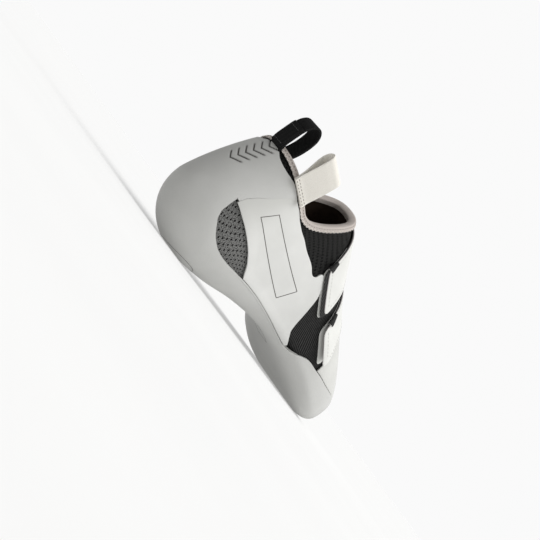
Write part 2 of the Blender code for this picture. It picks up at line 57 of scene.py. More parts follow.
# The form, as in the part: see its columns. edge and arch are roundnesses, 2 is an ellipse.
FORM_COLUMNS = ("x", "sole_z", "sole_y", "outer_y", "outer_z", "inner_y", "inner_z",
                "ridge_y", "ridge_z", "edge", "arch")
FORM_ROWS = (
    (45, 0.0, 0, -31.0, 33, 31.0, 33, 0, 150, 2.3, 2.0),
    (70, 4.0, 0, -29.5, 32, 28.0, 34, 0, 138, 2.4, 2.1),
    (95, 11.0, -1, -30.0, 33, 25.0, 38, 1, 120, 2.6, 2.3),
    (120, 15.5, -2, -34.5, 32, 27.0, 38, 2, 101, 2.8, 2.5),
    (145, 16.0, -2, -42.0, 29, 33.0, 34, 4, 80, 3.0, 2.4),
    (165, 12.5, -1, -46.0, 25, 42.0, 28, 6, 68.5, 3.1, 2.3),
    (188, 6.0, 3, -44.5, 20, 53.0, 22, 9, 58, 3.2, 2.2),
    (205, 1.5, 6, -40.0, 18, 55.0, 19, 12, 50, 3.2, 2.2),
    (222, 0.0, 9, -31.5, 16, 48.0, 17, 14, 43, 3.2, 2.2),
)
FORM = {name: np.array([row[i] for row in FORM_ROWS], float) for i, name in enumerate(FORM_COLUMNS)}
HEEL_X = 45.0
TOE_X = 222.0
HEEL_REACH = 43.0
HEEL_WIDE_Z = 36.0
HEEL_EDGE = 2.2
HEEL_TOP_REACH = 19.0
HEEL_TOP_Z = 93.0
HEEL_LEAN = 1.32
TOE_REACH = 39.5
TOE_WIDE_Z = 14.0
TOE_EDGE = 2.6
TOE_DOME = 2.2
TOE_SHIFT = 4.0
TOE_POINT = 1.14
LEAN_RAMP = 0.3
COLLAR_ROWS = ((45, 84), (54, 81.5), (62, 79), (70, 79.5), (80, 84.5), (92, 93.5), (102, 102), (110, 109))
FRONT_X = COLLAR_ROWS[-1][0]
FINE = 80
STEP_ALONG = 0.4
STEP_ROUND = 0.01
STEP_UP = 0.02
CORE_Z = 40.0

# Depths below the form.
SOLE_THICK = 4.2
RAND_THICK = 2.0
UPPER_THICK = 1.6
PANEL_THICK = 1.1
INSOLE_THICK = 2.5
TAPE_THICK = 0.8
BINDING_LEG = 3.0
BINDING_SLACK = 1.0
EDGE_FADE = 0.35
KNIT_DEPTH = RAND_THICK + GAP
SEAM = 0.006

# Top edge of the rubber along the shoe, as (x, height v): 1 is the widest line, 2 the collar or ridge.
RAND_ROWS = (
    (0, 1.28), (14.5, 1.28), (15.4, 1.28), (15.9, 1.27), (16.4, 1.20), (17.0, 1.12), (18.5, 1.05),
    (22.1, 0.975), (26.9, 0.90), (33.9, 0.84), (43, 0.81), (54.6, 0.815), (63.8, 0.84), (70.8, 0.86),
    (88, 0.85), (101, 0.83), (114, 0.81), (127.5, 0.79), (137, 0.80), (150, 1.00), (165, 1.06),
    (188, 1.12), (222, 1.18), (265, 1.20),
)
# The heel cup starts at this turn in degrees on either side, at the window's upper corner.
# Its seam slants forward from there, by the degrees below at the heights v.
CUP_TURN = 39.5
CUP_LOW = 1.28
CUP_SEAM_ROWS = (
    (1.28, 0.0), (1.355, 1.0), (1.475, 5.9), (1.59, 12.8), (1.715, 19.4), (1.835, 27.8), (1.91, 36.0),
)
CUP_SEAM_FADE = 0.25
# The cup's rim by the heel's turn on either side: lower at the rear corners, where the knit shows above it.
CUP_TOP_ROWS = ((0, 1.915), (30, 1.915), (44, 1.878), (66, 1.878), (80, 1.92), (90, 1.92))
# Edges of the side panels: the lower one frames the window, the upper one the throat.
PANEL_LOW_ROWS = (
    (17, 1.262), (22, 1.25), (26.1, 1.238), (35, 1.212), (46.7, 1.158), (57.3, 1.085), (64.9, 0.995),
    (69, 0.92), (72, 0.865),
)
PANEL_TOP_OUTER = (
    (20, 1.92), (50, 1.92), (58, 1.92), (66, 1.885), (75, 1.795), (88, 1.612), (100, 1.475),
    (106, 1.395), (109, 1.38), (112, 1.395), (116, 1.37), (120, 1.335), (122.5, 1.285), (124.5, 1.19),
    (127, 1.06), (131, 0.95), (136, 0.85),
)
PANEL_TOP_INNER = (
    (20, 1.92), (50, 1.92), (58, 1.92), (66, 1.90), (78, 1.82), (92, 1.65), (106, 1.46), (112, 1.44),
    (122, 1.40), (127, 1.10), (136, 0.90),
)


def smooth(rows, x):
    """Height of a smooth curve through (x, value) rows."""
    xs = np.array([row[0] for row in rows], float)
    ys = np.array([row[1] for row in rows], float)
    slope = np.gradient(ys, xs)
    x = np.clip(np.asarray(x, float), xs[0], xs[-1])
    i = np.clip(np.searchsorted(xs, x) - 1, 0, len(xs) - 2)
    step = xs[i + 1] - xs[i]
    s = (x - xs[i]) / step
    start = (2 * s**3 - 3 * s**2 + 1) * ys[i] + (s**3 - 2 * s**2 + s) * step * slope[i]
    end = (3 * s**2 - 2 * s**3) * ys[i + 1] + (s**3 - s**2) * step * slope[i + 1]
    return start + end


def form(name, x):
    return float(smooth(np.stack([FORM["x"], FORM[name]], 1), x))


def ease(s):
    s = np.clip(s, 0.0, 1.0)
    return s * s * (3 - 2 * s)


def run_along(points):
    """Length of the way along a curve to each of its points."""
    return np.concatenate([[0], np.cumsum(np.linalg.norm(np.diff(points, axis=0), axis=1))])


def unit(vectors):
    """The vectors at length one."""
    return vectors / np.maximum(np.linalg.norm(vectors, axis=-1, keepdims=True), TINY)


def between(low, top, lanes):
    """Equal steps from each low value to its top value."""
    return low[:, None] + (top - low)[:, None] * np.linspace(0, 1, lanes + 1)


def even(points, steps=FINE):
    """The curve again, with steps of equal length."""
    run = run_along(points)
    at_run = np.linspace(0, run[-1], steps + 1)
    return np.stack([np.interp(at_run, run, points[:, k]) for k in range(points.shape[1])], 1)


def under_curve(reach, low, high, edge):
    """Quarter of a rounded box, from the middle of the sole out to the widest line."""
    t = np.linspace(0, math.pi / 2, 4 * FINE)
    out = reach * np.sin(t) ** (2 / edge)
    up = high - (high - low) * np.cos(t).clip(0) ** (2 / edge)
    return even(np.stack([out, up], 1))


def over_curve(reach, low, high, power, stop):
    """Quarter arch from the widest line towards the ridge, cut off at a share of its turn."""
    t = np.linspace(0, math.pi / 2 * stop, 4 * FINE)
    out = reach * np.cos(t).clip(0) ** (2 / power)
    up = low + (high - low) * np.sin(t) ** (2 / power)
    return even(np.stack([out, up], 1))


def length_of(points):
    return np.linalg.norm(np.diff(points, axis=0), axis=1).sum()


def side_profile(x, side, cut=True):
    """Half section across the foot, -1 the outer half, and the share of its arch that the collar leaves."""
    half = "outer" if side < 0 else "inner"
    wide_y = form(half + "_y", x)
    wide_z = form(half + "_z", x)
    sole_y = form("sole_y", x)
    ridge_y = form("ridge_y", x)
    ridge_z = form("ridge_z", x)
    under = under_curve(abs(wide_y - sole_y), form("sole_z", x), wide_z, form("edge", x))
    whole = over_curve(abs(wide_y - ridge_y), wide_z, ridge_z, form("arch", x), 1.0)
    over = whole
    if cut and x < FRONT_X:
        share = (float(smooth(COLLAR_ROWS, x)) - wide_z) / (ridge_z - wide_z)
        stop = math.asin(min(share, 1.0) ** (form("arch", x) / 2)) / (math.pi / 2)
        over = over_curve(abs(wide_y - ridge_y), wide_z, ridge_z, form("arch", x), stop)
    y = np.concatenate([sole_y + side * under[:, 0], ridge_y + side * over[1:, 0]])
    z = np.concatenate([under[:, 1], over[1:, 1]])
    return np.stack([np.full_like(y, x), y, z], 1), length_of(over) / length_of(whole)


def back_profile():
    """Middle section of the heel behind HEEL_X, as (reach, z)."""
    under = under_curve(HEEL_REACH, 0, HEEL_WIDE_Z, HEEL_EDGE)
    turn = math.acos((HEEL_TOP_REACH / HEEL_REACH) ** (HEEL_LEAN / 2))
    high = HEEL_WIDE_Z + (HEEL_TOP_Z - HEEL_WIDE_Z) / math.sin(turn) ** (2 / HEEL_LEAN)
    over = over_curve(HEEL_REACH, HEEL_WIDE_Z, high, HEEL_LEAN, turn / (math.pi / 2))
    return np.concatenate([under, over[1:]])


def front_profile():
    """Middle section of the toe before TOE_X, as (reach, z), going on down the slope of the ridge."""
    under = under_curve(TOE_REACH, 0, TOE_WIDE_Z, TOE_EDGE)
    over = over_curve(TOE_REACH, TOE_WIDE_Z, form("ridge_z", TOE_X), TOE_DOME, 1.0)
    slope = form("ridge_z", TOE_X) - form("ridge_z", TOE_X - 1)
    over[:, 1] += slope * over[:, 0] * (1 - over[:, 0] / TOE_REACH)
    return np.concatenate([under, over[1:]])


BACK = back_profile()
FRONT = front_profile()
ABOVE = np.concatenate([np.zeros(FINE), np.linspace(0, 1, FINE + 1)])


def end_section(x, inward, side):
    """The half section at an end of the sides, and how it goes on for each millimetre past that end."""
    here, _ = side_profile(x, side)
    before, _ = side_profile(x + inward, side)
    going = here - before
    going[:, 2] *= np.minimum(ABOVE / LEAN_RAMP, 1)
    return here, going


HEEL_ENDS = {side: end_section(HEEL_X, 1, side) for side in (-1, 1)}
TOE_ENDS = {side: end_section(TOE_X, -1, side) for side in (-1, 1)}


def heel_profile(turn):
    """Section round the heel, from the outer side at 0 over the back to the inner side at pi."""
    side, going = HEEL_ENDS[-1 if turn <= math.pi / 2 else 1]
    c = abs(math.cos(turn))
    s = math.sin(turn)
    run = BACK[:, 0] * s
    y = side[:, 1] * c + going[:, 1] * run * c * c
    z = side[:, 2] * c * c + BACK[:, 1] * s * s + going[:, 2] * run * c * c
    return np.stack([HEEL_X - run, y, z], 1)


def toe_profile(turn):
    """Section round the toe, from the inner side at 0 over the tip to the outer side at pi."""
    side, going = TOE_ENDS[1 if turn <= math.pi / 2 else -1]
    c = abs(math.cos(turn)) ** TOE_POINT
    s = abs(math.sin(turn)) ** TOE_POINT
    run = FRONT[:, 0] * s
    axis_y = form("sole_y", TOE_X) + (form("ridge_y", TOE_X) - form("sole_y", TOE_X)) * ABOVE
    y = axis_y + (side[:, 1] - axis_y) * c + going[:, 1] * run * c * c
    y += TOE_SHIFT * s * s * FRONT[:, 0] / TOE_REACH
    z = FRONT[:, 1] * s * s + side[:, 2] * (1 - s * s) + going[:, 2] * run * c * c
    return np.stack([TOE_X + run, y, z], 1)


def sample(points, v):
    at_v = np.clip(np.asarray(v, float), 0, 2) * FINE
    steps = np.arange(2 * FINE + 1)
    return np.stack([np.interp(at_v, steps, points[:, k]) for k in range(3)], -1)


def surface(kind, place, side):
    """Points up one section of the form and the directions out of it."""
    v = np.linspace(0, 2, 2 * FINE + 1)
    if kind == "side":
        points, share = side_profile(place, side)
        before, _ = side_profile(max(place - STEP_ALONG, HEEL_X), side, cut=False)
        after, _ = side_profile(min(place + STEP_ALONG, TOE_X), side, cut=False)
        here, _ = side_profile(place, side, cut=False)
        v = np.where(v > 1, 1 + (v - 1) * share, v)
        core_x = place
    else:
        turned = heel_profile if kind == "heel" else toe_profile
        here = turned(place)
        points = here
        before = turned(place - STEP_ROUND)
        after = turned(place + STEP_ROUND)
        core_x = HEEL_X if kind == "heel" else TOE_X
    along = sample(after, v) - sample(before, v)
    up = sample(here, v + STEP_UP) - sample(here, v - STEP_UP)
    out = np.cross(along, up)
    length = np.linalg.norm(out, axis=1, keepdims=True)
    upright = np.stack([0 * v, 0 * v, np.where(v < 1, -1.0, 1.0)], 1)
    out = np.where(length > TINY, out / np.maximum(length, TINY), upright)
    flip = np.sum(out * (points - np.array([core_x, 0, CORE_Z])), axis=1, keepdims=True) < 0
    return points, np.where(flip, -out, out)


# The ring s runs once round the shoe: 0 to 1 along the outer side from the toe, 1 to 2 round the heel,
# 2 to 3 along the inner side to the toe and 3 to 4 round the toe.
SIDE_STEPS = 180
TURN_STEPS = 90
THROAT_S = 0.5


def side_x(s):
    """Place along the outer side; behind the throat the places crowd towards the collar's front end."""
    ahead = TOE_X + (FRONT_X - TOE_X) * s / THROAT_S
    behind = FRONT_X + (HEEL_X - FRONT_X) * ((s - THROAT_S).clip(0) / (1 - THROAT_S)) ** 2
    return np.where(s < THROAT_S, ahead, behind)


SIDE_S = np.linspace(0, 1, SIDE_STEPS + 1)
SIDE_XS = side_x(SIDE_S)


def form_table():
    turns = np.linspace(0, math.pi, TURN_STEPS + 1)[1:]
    ring = [("side", x, -1) for x in SIDE_XS]
    ring += [("heel", turn, 0) for turn in turns]
    ring += [("side", x, 1) for x in SIDE_XS[::-1][1:]]
    ring += [("toe", turn, 0) for turn in turns]
    places = np.concatenate([SIDE_S, 1 + turns / math.pi, 3 - SIDE_S[::-1][1:], 3 + turns / math.pi])
    pairs = [surface(*station) for station in ring]
    return places, np.array([p[0] for p in pairs]) - ORIGIN, np.array([p[1] for p in pairs])


RING_S, RING_POINTS, RING_OUT = form_table()


def join_sections():
    """Give sections that meet at the middle of the sole or at the ridge one direction out there."""
    for row in (0, 2 * FINE):
        meeting = {}
        for i, point in enumerate(RING_POINTS[:, row]):
            meeting.setdefault(tuple(np.round(point, 2)), []).append(i)
        for group in meeting.values():
            mean = RING_OUT[group, row].mean(axis=0)
            RING_OUT[group, row] = mean / np.linalg.norm(mean)


join_sections()


def on_side(s, side):
    """Ring places of the outer side, mirrored when the side is the inner one."""
    return s if side < 0 else 3 - s


def s_of(x, side=-1):
    """The ring place of an x along one side."""
    return on_side(np.interp(x, SIDE_XS[::-1], SIDE_S[::-1]), side)


def s_of_turn(degrees):
    return 1 + np.asarray(degrees, float) / 180


def x_of(s):
    """Where the widest line of a ring place lies along the shoe."""
    s = np.mod(np.asarray(s, float), 4)
    heel = HEEL_X - HEEL_REACH * np.sin((s - 1) * math.pi)
    toe = TOE_X + TOE_REACH * np.sin((s - 3) * math.pi)
    near = np.interp(np.where(s > 1.5, 3 - s, s), SIDE_S, SIDE_XS)
    return np.where((s > 1) & (s < 2), heel, np.where(s > 3, toe, near))


def mix_rows(grid, s, v):
    """Value of a table over the ring at places s and heights v."""
    s = np.mod(s, 4)
    i = np.clip(np.searchsorted(RING_S, s, side="right") - 1, 0, len(RING_S) - 2)
    f = ((s - RING_S[i]) / (RING_S[i + 1] - RING_S[i]))[..., None]
    high = np.clip(v, 0, 2) * FINE
    j = np.clip(high.astype(int), 0, 2 * FINE - 1)
    g = (high - j)[..., None]
    low_row = grid[i, j] * (1 - f) + grid[i + 1, j] * f
    top_row = grid[i, j + 1] * (1 - f) + grid[i + 1, j + 1] * f
    return low_row * (1 - g) + top_row * g


def at(s, v, depth=0.0):
    """Points at a depth below the form, and the directions out of it."""
    s, v = np.broadcast_arrays(np.asarray(s, float), np.asarray(v, float))
    out = mix_rows(RING_OUT, s, v)
    out = unit(out)
    points = mix_rows(RING_POINTS, s, v) - out * np.asarray(depth, float)[..., None]
    points[..., 2] = np.maximum(points[..., 2], 0)
    return points, out


def rubber_depth(v):
    return RAND_THICK + (SOLE_THICK - RAND_THICK) * ease((1.0 - v) / EDGE_FADE)


def slant(s, v):
    """Ring place moved forward so that a line of the ring follows the heel cup's slanting seam."""
    shear = np.interp(v, *zip(*CUP_SEAM_ROWS)) / 180
    near_outer = np.clip(1 - np.abs(s - s_of_turn(CUP_TURN)) / CUP_SEAM_FADE, 0, 1)
    near_inner = np.clip(1 - np.abs(s - s_of_turn(180 - CUP_TURN)) / CUP_SEAM_FADE, 0, 1)
    return s - shear * near_outer + shear * near_inner


# Meshes.

def shown(name, bm, finishes, nodes=()):
    """Close a bmesh into a named piece that rides on the shoe and stands for the given nodes."""
    mesh = bpy.data.meshes.new(name)
    bm.to_mesh(mesh)
    bm.free()
    mesh.shade_smooth()
    for finish in finishes:
        mesh.materials.append(finish)
    made = bpy.data.objects.new(name, mesh)
    bpy.context.scene.collection.objects.link(made)
    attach(made, "root")
    if nodes:
        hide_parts(*nodes)
    return made


def lay(bm, points, toward=None):
    """A grid of faces through an array of points (columns, rows, 3), facing the toward directions."""
    columns, rows = points.shape[:2]
    made = bmesh.ops.create_grid(bm, x_segments=rows - 1, y_segments=columns - 1, size=0.5)
    verts = made["verts"]
    length = np.linalg.norm(np.diff(points, axis=0), axis=2).mean(axis=1)
    height = np.linalg.norm(np.diff(points, axis=1), axis=2).mean(axis=0)
    across = np.concatenate([[0], np.cumsum(length)])
    upward = np.concatenate([[0], np.cumsum(height)])
    flat = points.reshape(-1, 3) * MM
    places = {}
    for k, vert in enumerate(verts):
        vert.co = flat[k]
        places[vert] = (across[k // rows] * MM, upward[k % rows] * MM)
    faces = list({face for vert in verts for face in vert.link_faces})
    faces.sort(key=lambda face: min(vert.index for vert in face.verts))
    layer = bm.loops.layers.uv.verify()
    for face in faces:
        for loop in face.loops:
            loop[layer].uv = places[loop.vert]
    if toward is not None:
        bm.normal_update()
        away = dict(zip(verts, toward.reshape(-1, 3)))
        lean = sum(face.normal.dot(Vector(away[face.verts[0]])) for face in faces)
        if lean < 0:
            bmesh.ops.reverse_faces(bm, faces=faces)
    return faces


RIM_STEPS = 2
RIM_ANGLE = math.radians(50)


def thicken(made, thick, rim=0.0, offset=-1.0, lining=0, edge=0):
    """Give a sheet its thickness and round its rim; lining and edge count on to the finish they take."""
    solid = made.modifiers.new("thickness", "SOLIDIFY")
    solid.thickness = thick * MM
    solid.offset = offset
    solid.use_even_offset = False
    solid.material_offset = lining
    solid.material_offset_rim = edge
    if rim:
        bevel = made.modifiers.new("rim", "BEVEL")
        bevel.width = rim * MM
        bevel.segments = RIM_STEPS
        bevel.limit_method = "ANGLE"
        bevel.angle_limit = RIM_ANGLE
        bevel.harden_normals = False
    return made


def over_form(name, s, v, depth, finishes, nodes=(), close=0.0):
    """A sheet over the form through places, heights and depths; points nearer than close are joined."""
    points, out = at(s, v, depth)
    bm = bmesh.new()
    lay(bm, points, out)
    if close:
        bmesh.ops.remove_doubles(bm, verts=bm.verts, dist=close * MM)
    return shown(name, bm, finishes, nodes)


def mark(made, name, values):
    """Give a piece a value at each vertex, for its material."""
    layer = made.data.attributes.new(name, "FLOAT", "POINT")
    layer.data.foreach_set("value", values)


STITCH_SIDES = 8
STITCH_RINGS = 5


def stitch_row(name, path, out, stitch, finish, swing=0.0):
    """A row of stitches, given as pitch, length and width, along a path; swing makes a zigzag."""
    pitch, length, width = stitch
    run = run_along(path)
    spots = np.arange(pitch / 2, run[-1], pitch)
    centre = np.stack([np.interp(spots, run, path[:, k]) for k in range(3)], 1)
    away = np.stack([np.interp(spots, run, out[:, k]) for k in range(3)], 1)
    ahead = np.stack([np.interp(spots, run, np.gradient(path[:, k], run)) for k in range(3)], 1)
    size = Matrix.Diagonal((length / 2 * MM, width / 2 * MM, width / 2 * MM, 1.0))
    bm = bmesh.new()
    for k in range(len(spots)):
        normal = Vector(away[k]).normalized()
        forward = Vector(ahead[k])
        forward = (forward - normal * forward.dot(normal)).normalized()
        forward.rotate(Quaternion(normal, swing if k % 2 else -swing))
        turn = Matrix((forward, normal.cross(forward), normal)).transposed().to_4x4()
        place = Matrix.Translation(Vector(centre[k] * MM)) @ turn @ size
        bmesh.ops.create_uvsphere(bm, u_segments=STITCH_SIDES, v_segments=STITCH_RINGS, radius=1.0,
                                  matrix=place)
    return shown(name, bm, [finish])


def seam_across(name, centre, reach, out, stitch, finish):
    """A straight row of stitches over a reach, on either side of its centre."""
    path = centre + reach * np.array([[-0.5], [0.5]])
    stitch_row(name, path, np.stack([out, out]), stitch, finish)


# Materials.

def linear(code):
    """Linear colour from an sRGB hex code."""
    parts = [int(code[k:k + 2], 16) / 255 for k in (0, 2, 4)]
    return tuple(c / 12.92 if c <= 0.04045 else ((c + 0.055) / 1.055) ** 2.4 for c in parts) + (1.0,)


def set_inputs(tree, node, values):
    """Link or set a node's inputs by name."""
    for name, value in values.items():
        socket = node.inputs[name]
        if isinstance(value, bpy.types.NodeSocket):
            tree.links.new(value, socket)
        else:
            socket.default_value = value


def add(tree, kind, values=None, **settings):
    """Add a node with its settings, and link or set its inputs."""
    node = tree.nodes.new(kind)
    for name, value in settings.items():
        setattr(node, name, value)
    set_inputs(tree, node, values or {})
    return node


def finish_of(name):
    """An empty material: its node tree, its shader and its Object coordinates in metres."""
    made = bpy.data.materials.new(name)
    made.use_nodes = True
    tree = made.node_tree
    return made, tree, tree.nodes["Principled BSDF"], add(tree, "ShaderNodeTexCoord").outputs


def two_tone(tree, value, dark, light, low=0.35, high=0.65):
    """Colour between two hex codes by a value."""
    ramp = add(tree, "ShaderNodeValToRGB", {"Fac": value})
    ramp.color_ramp.elements[0].position = low
    ramp.color_ramp.elements[0].color = linear(dark)
    ramp.color_ramp.elements[1].position = high
    ramp.color_ramp.elements[1].color = linear(light)
    return ramp.outputs["Color"]


# Pattern scales in cells for a metre, with the size of one cell beside them. Pebble, grain, loops and fuzz
# are coarser than real ones, so that they show in the picture.
RUBBER_CLOUD = 38.0  # 26 mm
RUBBER_SMEAR = 140.0  # 7 mm
RUBBER_PEBBLE = 750.0  # 1.3 mm
SYNTHETIC_CLOUD = 55.0  # 18 mm
SYNTHETIC_GRAIN = 1100.0  # 0.9 mm
KNIT_LOOPS = 1000 / 0.75  # 0.75 mm
YARN_FUZZ = 1800.0  # 0.6 mm
THREAD_FIBRE = 4000.0  # 0.25 mm
FLOOR_CLOUD = 9.0  # 110 mm
# A wave pattern makes this many bands for each unit of its scale.
WAVE_BANDS = 3.2
# Where a knit's hole ends and its yarn begins, as shares of the hole's size.
HOLE_EDGE = (0.40, 0.62)
CLOTH_SHINE = 0.12
GROOVE_SHADE = "3A3834"
NEAR_CUP = "B6B6B2"


def rubber(name, dark, light, gloss):
    """Moulded rubber: matt light grey, faintly cloudy, with a fine pebble that softens the highlight."""
    made, tree, shader, coords = finish_of(name)
    place = coords["Object"]
    cloud = add(tree, "ShaderNodeTexNoise", {"Vector": place, "Scale": RUBBER_CLOUD, "Detail": 4.0})
    pebble = add(tree, "ShaderNodeTexNoise", {"Vector": place, "Scale": RUBBER_PEBBLE, "Detail": 2.0})
    smear = add(tree, "ShaderNodeTexNoise", {"Vector": place, "Scale": RUBBER_SMEAR, "Detail": 5.0})
    rough = add(tree, "ShaderNodeMapRange",
                {"Value": smear.outputs["Fac"], "To Min": gloss - 0.08, "To Max": gloss + 0.10})
    fine = add(tree, "ShaderNodeBump",
               {"Height": pebble.outputs["Fac"], "Strength": 0.5, "Distance": 0.0002})
    wave = add(tree, "ShaderNodeBump", {"Height": smear.outputs["Fac"], "Strength": 0.15, "Distance": 0.0004,
                                        "Normal": fine.outputs["Normal"]})
    cut = add(tree, "ShaderNodeAttribute", attribute_name="groove")
    shade = add(tree, "ShaderNodeMixRGB", {"Fac": cut.outputs["Fac"],
                                           "Color1": two_tone(tree, cloud.outputs["Fac"], dark, light),
                                           "Color2": linear(GROOVE_SHADE)})
    set_inputs(tree, shader, {"Base Color": shade.outputs["Color"], "Roughness": rough.outputs["Result"],
                              "Normal": wave.outputs["Normal"]})
    return made


def synthetic(name, dark, light):
    """Coated synthetic: pale grey, fine leather-like grain and low sheen, greyer where near_cup says so."""
    made, tree, shader, coords = finish_of(name)
    place = coords["Object"]
    cloud = add(tree, "ShaderNodeTexNoise", {"Vector": place, "Scale": SYNTHETIC_CLOUD, "Detail": 3.0})
    grain = add(tree, "ShaderNodeTexVoronoi", {"Vector": place, "Scale": SYNTHETIC_GRAIN})
    bump = add(tree, "ShaderNodeBump",
               {"Height": grain.outputs["Distance"], "Strength": 0.18, "Distance": 0.00012})
    near = add(tree, "ShaderNodeAttribute", attribute_name="near_cup")
    tone = add(tree, "ShaderNodeMixRGB", {"Fac": near.outputs["Fac"],
                                          "Color1": two_tone(tree, cloud.outputs["Fac"], dark, light),
                                          "Color2": linear(NEAR_CUP)})
    set_inputs(tree, shader, {"Base Color": tone.outputs["Color"], "Roughness": 0.5,
                              "Normal": bump.outputs["Normal"]})
    return made


def knit(name, base, lit, hole, pitch, hole_size, turned):
    """Knit cloth with rows of small punched holes: fine loops in the bump, dark pits for the holes, their
    dark colour painted shade.
    """
    made, tree, shader, coords = finish_of(name)
    placed = add(tree, "ShaderNodeMapping",
                 {"Vector": coords["UV"], "Rotation": (0, 0, math.radians(turned))})
    pits = add(tree, "ShaderNodeTexVoronoi", {"Vector": placed.outputs["Vector"], "Scale": 1000 / pitch,
                                              "Randomness": 0.0}, voronoi_dimensions="2D")
    pit = add(tree, "ShaderNodeMapRange", {"Value": pits.outputs["Distance"],
                                           "From Min": hole_size / pitch * HOLE_EDGE[0],
                                           "From Max": hole_size / pitch * HOLE_EDGE[1]})
    loops = add(tree, "ShaderNodeTexVoronoi", {"Vector": coords["UV"], "Scale": KNIT_LOOPS,
                                               "Randomness": 0.55}, voronoi_dimensions="2D")
    yarn = two_tone(tree, loops.outputs["Distance"], lit, base, 0.12, 0.62)
    # Painted shade: the yarn turns to the near-black hole colour inside each pit.
    yarn_and_hole_shade = add(tree, "ShaderNodeMixRGB",
               {"Fac": pit.outputs["Result"], "Color1": linear(hole), "Color2": yarn})
    deep = add(tree, "ShaderNodeBump", {"Height": pit.outputs["Result"], "Strength": 0.8, "Distance": 0.0005})
    fine = add(tree, "ShaderNodeBump", {"Height": loops.outputs["Distance"], "Strength": 0.5,
                                        "Distance": 0.0003, "Normal": deep.outputs["Normal"]}, invert=True)
    set_inputs(tree, shader, {"Base Color": yarn_and_hole_shade.outputs["Color"], "Normal": fine.outputs["Normal"],
                              "Roughness": 0.9, "Specular IOR Level": CLOTH_SHINE})
    return made


def woven(name, dark, light, rib, turned, rough=0.85, depth=0.00035, by="UV"):
    """Woven tape: slanting or straight ribs of yarn in bump and colour."""
    made, tree, shader, coords = finish_of(name)
    placed = add(tree, "ShaderNodeMapping", {"Vector": coords[by], "Rotation": (0, 0, math.radians(turned))})
    ribs = add(tree, "ShaderNodeTexWave",
               {"Vector": placed.outputs["Vector"], "Scale": 1000 / rib / WAVE_BANDS, "Distortion": 0.4,
                "Detail": 1.0})
    fuzz = add(tree, "ShaderNodeTexNoise", {"Vector": coords["Object"], "Scale": YARN_FUZZ, "Detail": 3.0})
    mixed = add(tree, "ShaderNodeMath", {0: ribs.outputs["Fac"], 1: fuzz.outputs["Fac"]},
                operation="MULTIPLY").outputs["Value"]
    bump = add(tree, "ShaderNodeBump", {"Height": mixed, "Strength": 0.7, "Distance": depth})
    set_inputs(tree, shader, {"Base Color": two_tone(tree, mixed, dark, light, 0.05, 0.55),
                              "Normal": bump.outputs["Normal"], "Roughness": rough,
                              "Specular IOR Level": CLOTH_SHINE})
    return made


def thread(name, dark, light):
    """Sewing thread: short twisted fibres with a slight sheen."""
    made, tree, shader, coords = finish_of(name)
    fibre = add(tree, "ShaderNodeTexNoise",
                {"Vector": coords["Object"], "Scale": THREAD_FIBRE, "Detail": 2.0}).outputs["Fac"]
    bump = add(tree, "ShaderNodeBump", {"Height": fibre, "Strength": 0.5, "Distance": 0.0001})
    set_inputs(tree, shader, {"Base Color": two_tone(tree, fibre, dark, light), "Roughness": 0.7,
                              "Normal": bump.outputs["Normal"], "Sheen Weight": 0.2})
    return made


# Light grey rubber with a dusty highlight, and a smoother, lighter one over the toes.
SOLE_RUBBER = rubber("moulded_rubber", "B1B1AE", "B7B7B4", 0.55)
PATCH_RUBBER = rubber("toe_patch_rubber", "B8B8B4", "BEBEBA", 0.5)
# Nearly white coated cloth that looks like smooth leather; the straps' cut edges are pinkish grey.
PANEL = synthetic("coated_synthetic", "C4C4C1", "CACAC7")
STRAP_FACE = synthetic("strap_synthetic", "C8C8C4", "CECECA")
STRAP_EDGE = synthetic("strap_edge_coating", "A8A2A2", "B2ACAC")
# Deep black and mid-grey cloth, each with rows of small holes painted dark as painted shade.
BLACK_KNIT = knit("black_knit", "101010", "2E2E2D", "020202", 2.7, 1.3, 45)
WINDOW_MESH = knit("grey_mesh", "363635", "828280", "080808", 3.0, 1.15, 38)
# Black cloth with fine slanting ribs over the toes, and dark brown cloth in the shade inside.
ELASTIC = woven("black_elastic", "080808", "3E3E3D", 1.2, 38)
LINING = woven("brown_lining", "2A211B", "42352B", 0.9, 45)
FELT = woven("footbed_felt", "3A3028", "57493D", 1.4, 20, by="Object")
# Ribbed bands: black for the loop, dark grey for the straps, pinkish grey for the collar, cream for the tab.
WEBBING = woven("black_webbing", "060606", "242424", 0.9, 30)
STRAP_WEB = woven("strap_webbing", "1C1C1C", "4A4A49", 0.9, 30)
TAPE = woven("binding_tape", "A39B95", "C8C0BA", 0.7, 55)
COTTON = woven("cotton_tape", "D3CFC6", "EDEAE3", 0.5, 0, 0.9, 0.0002)
# Threads that stand out a little from what they hold, and the lines pressed into rubber and panel, painted
# dark as painted shade.
DARK_THREAD = thread("brown_thread", "5E554E", "7A7068")
PALE_THREAD = thread("pale_thread", "B4B4AF", "CACAC5")
TAPE_THREAD = thread("binding_thread", "C4BDB6", "DCD6D0")
BLACK_THREAD = thread("black_thread", "2A2A2A", "444443")
LINE_SHADE = thread("engraved_line_shade", "4A4844", "5C5A56")


# Pieces.

def rand_edge(s):
    return smooth(RAND_ROWS, x_of(s))


# Steps of the shell's columns along a side, round the toe, and round half the heel as (from, to, steps).
SHELL_SIDE_STEPS = 120
SHELL_TOE_STEPS = 90
SHELL_HEEL_PARTS = ((0, 36, 18), (36, 46, 40), (46, 90, 44))


def ring_columns():
    """Ring places of the shell's columns, closest together at the heel cup's lower corners."""
    side = s_of(np.linspace(TOE_X, HEEL_X, SHELL_SIDE_STEPS + 1))
    parts = [np.linspace(start, stop, steps + 1)[1:] for start, stop, steps in SHELL_HEEL_PARTS]
    half = np.concatenate(parts)
    cup = s_of_turn(np.concatenate([half, 180 - half[::-1][1:], [180]]))
    toe = 3 + np.linspace(0, 1, SHELL_TOE_STEPS + 1)[1:]
    return np.concatenate([side, cup, 3 - side[::-1][1:], toe])


SHELL_THICK = 1.9
SHELL_RIM = 0.45
SOLE_CROWDING = 1.5
SOLE_ROWS = 52
CUP_ROWS = 96
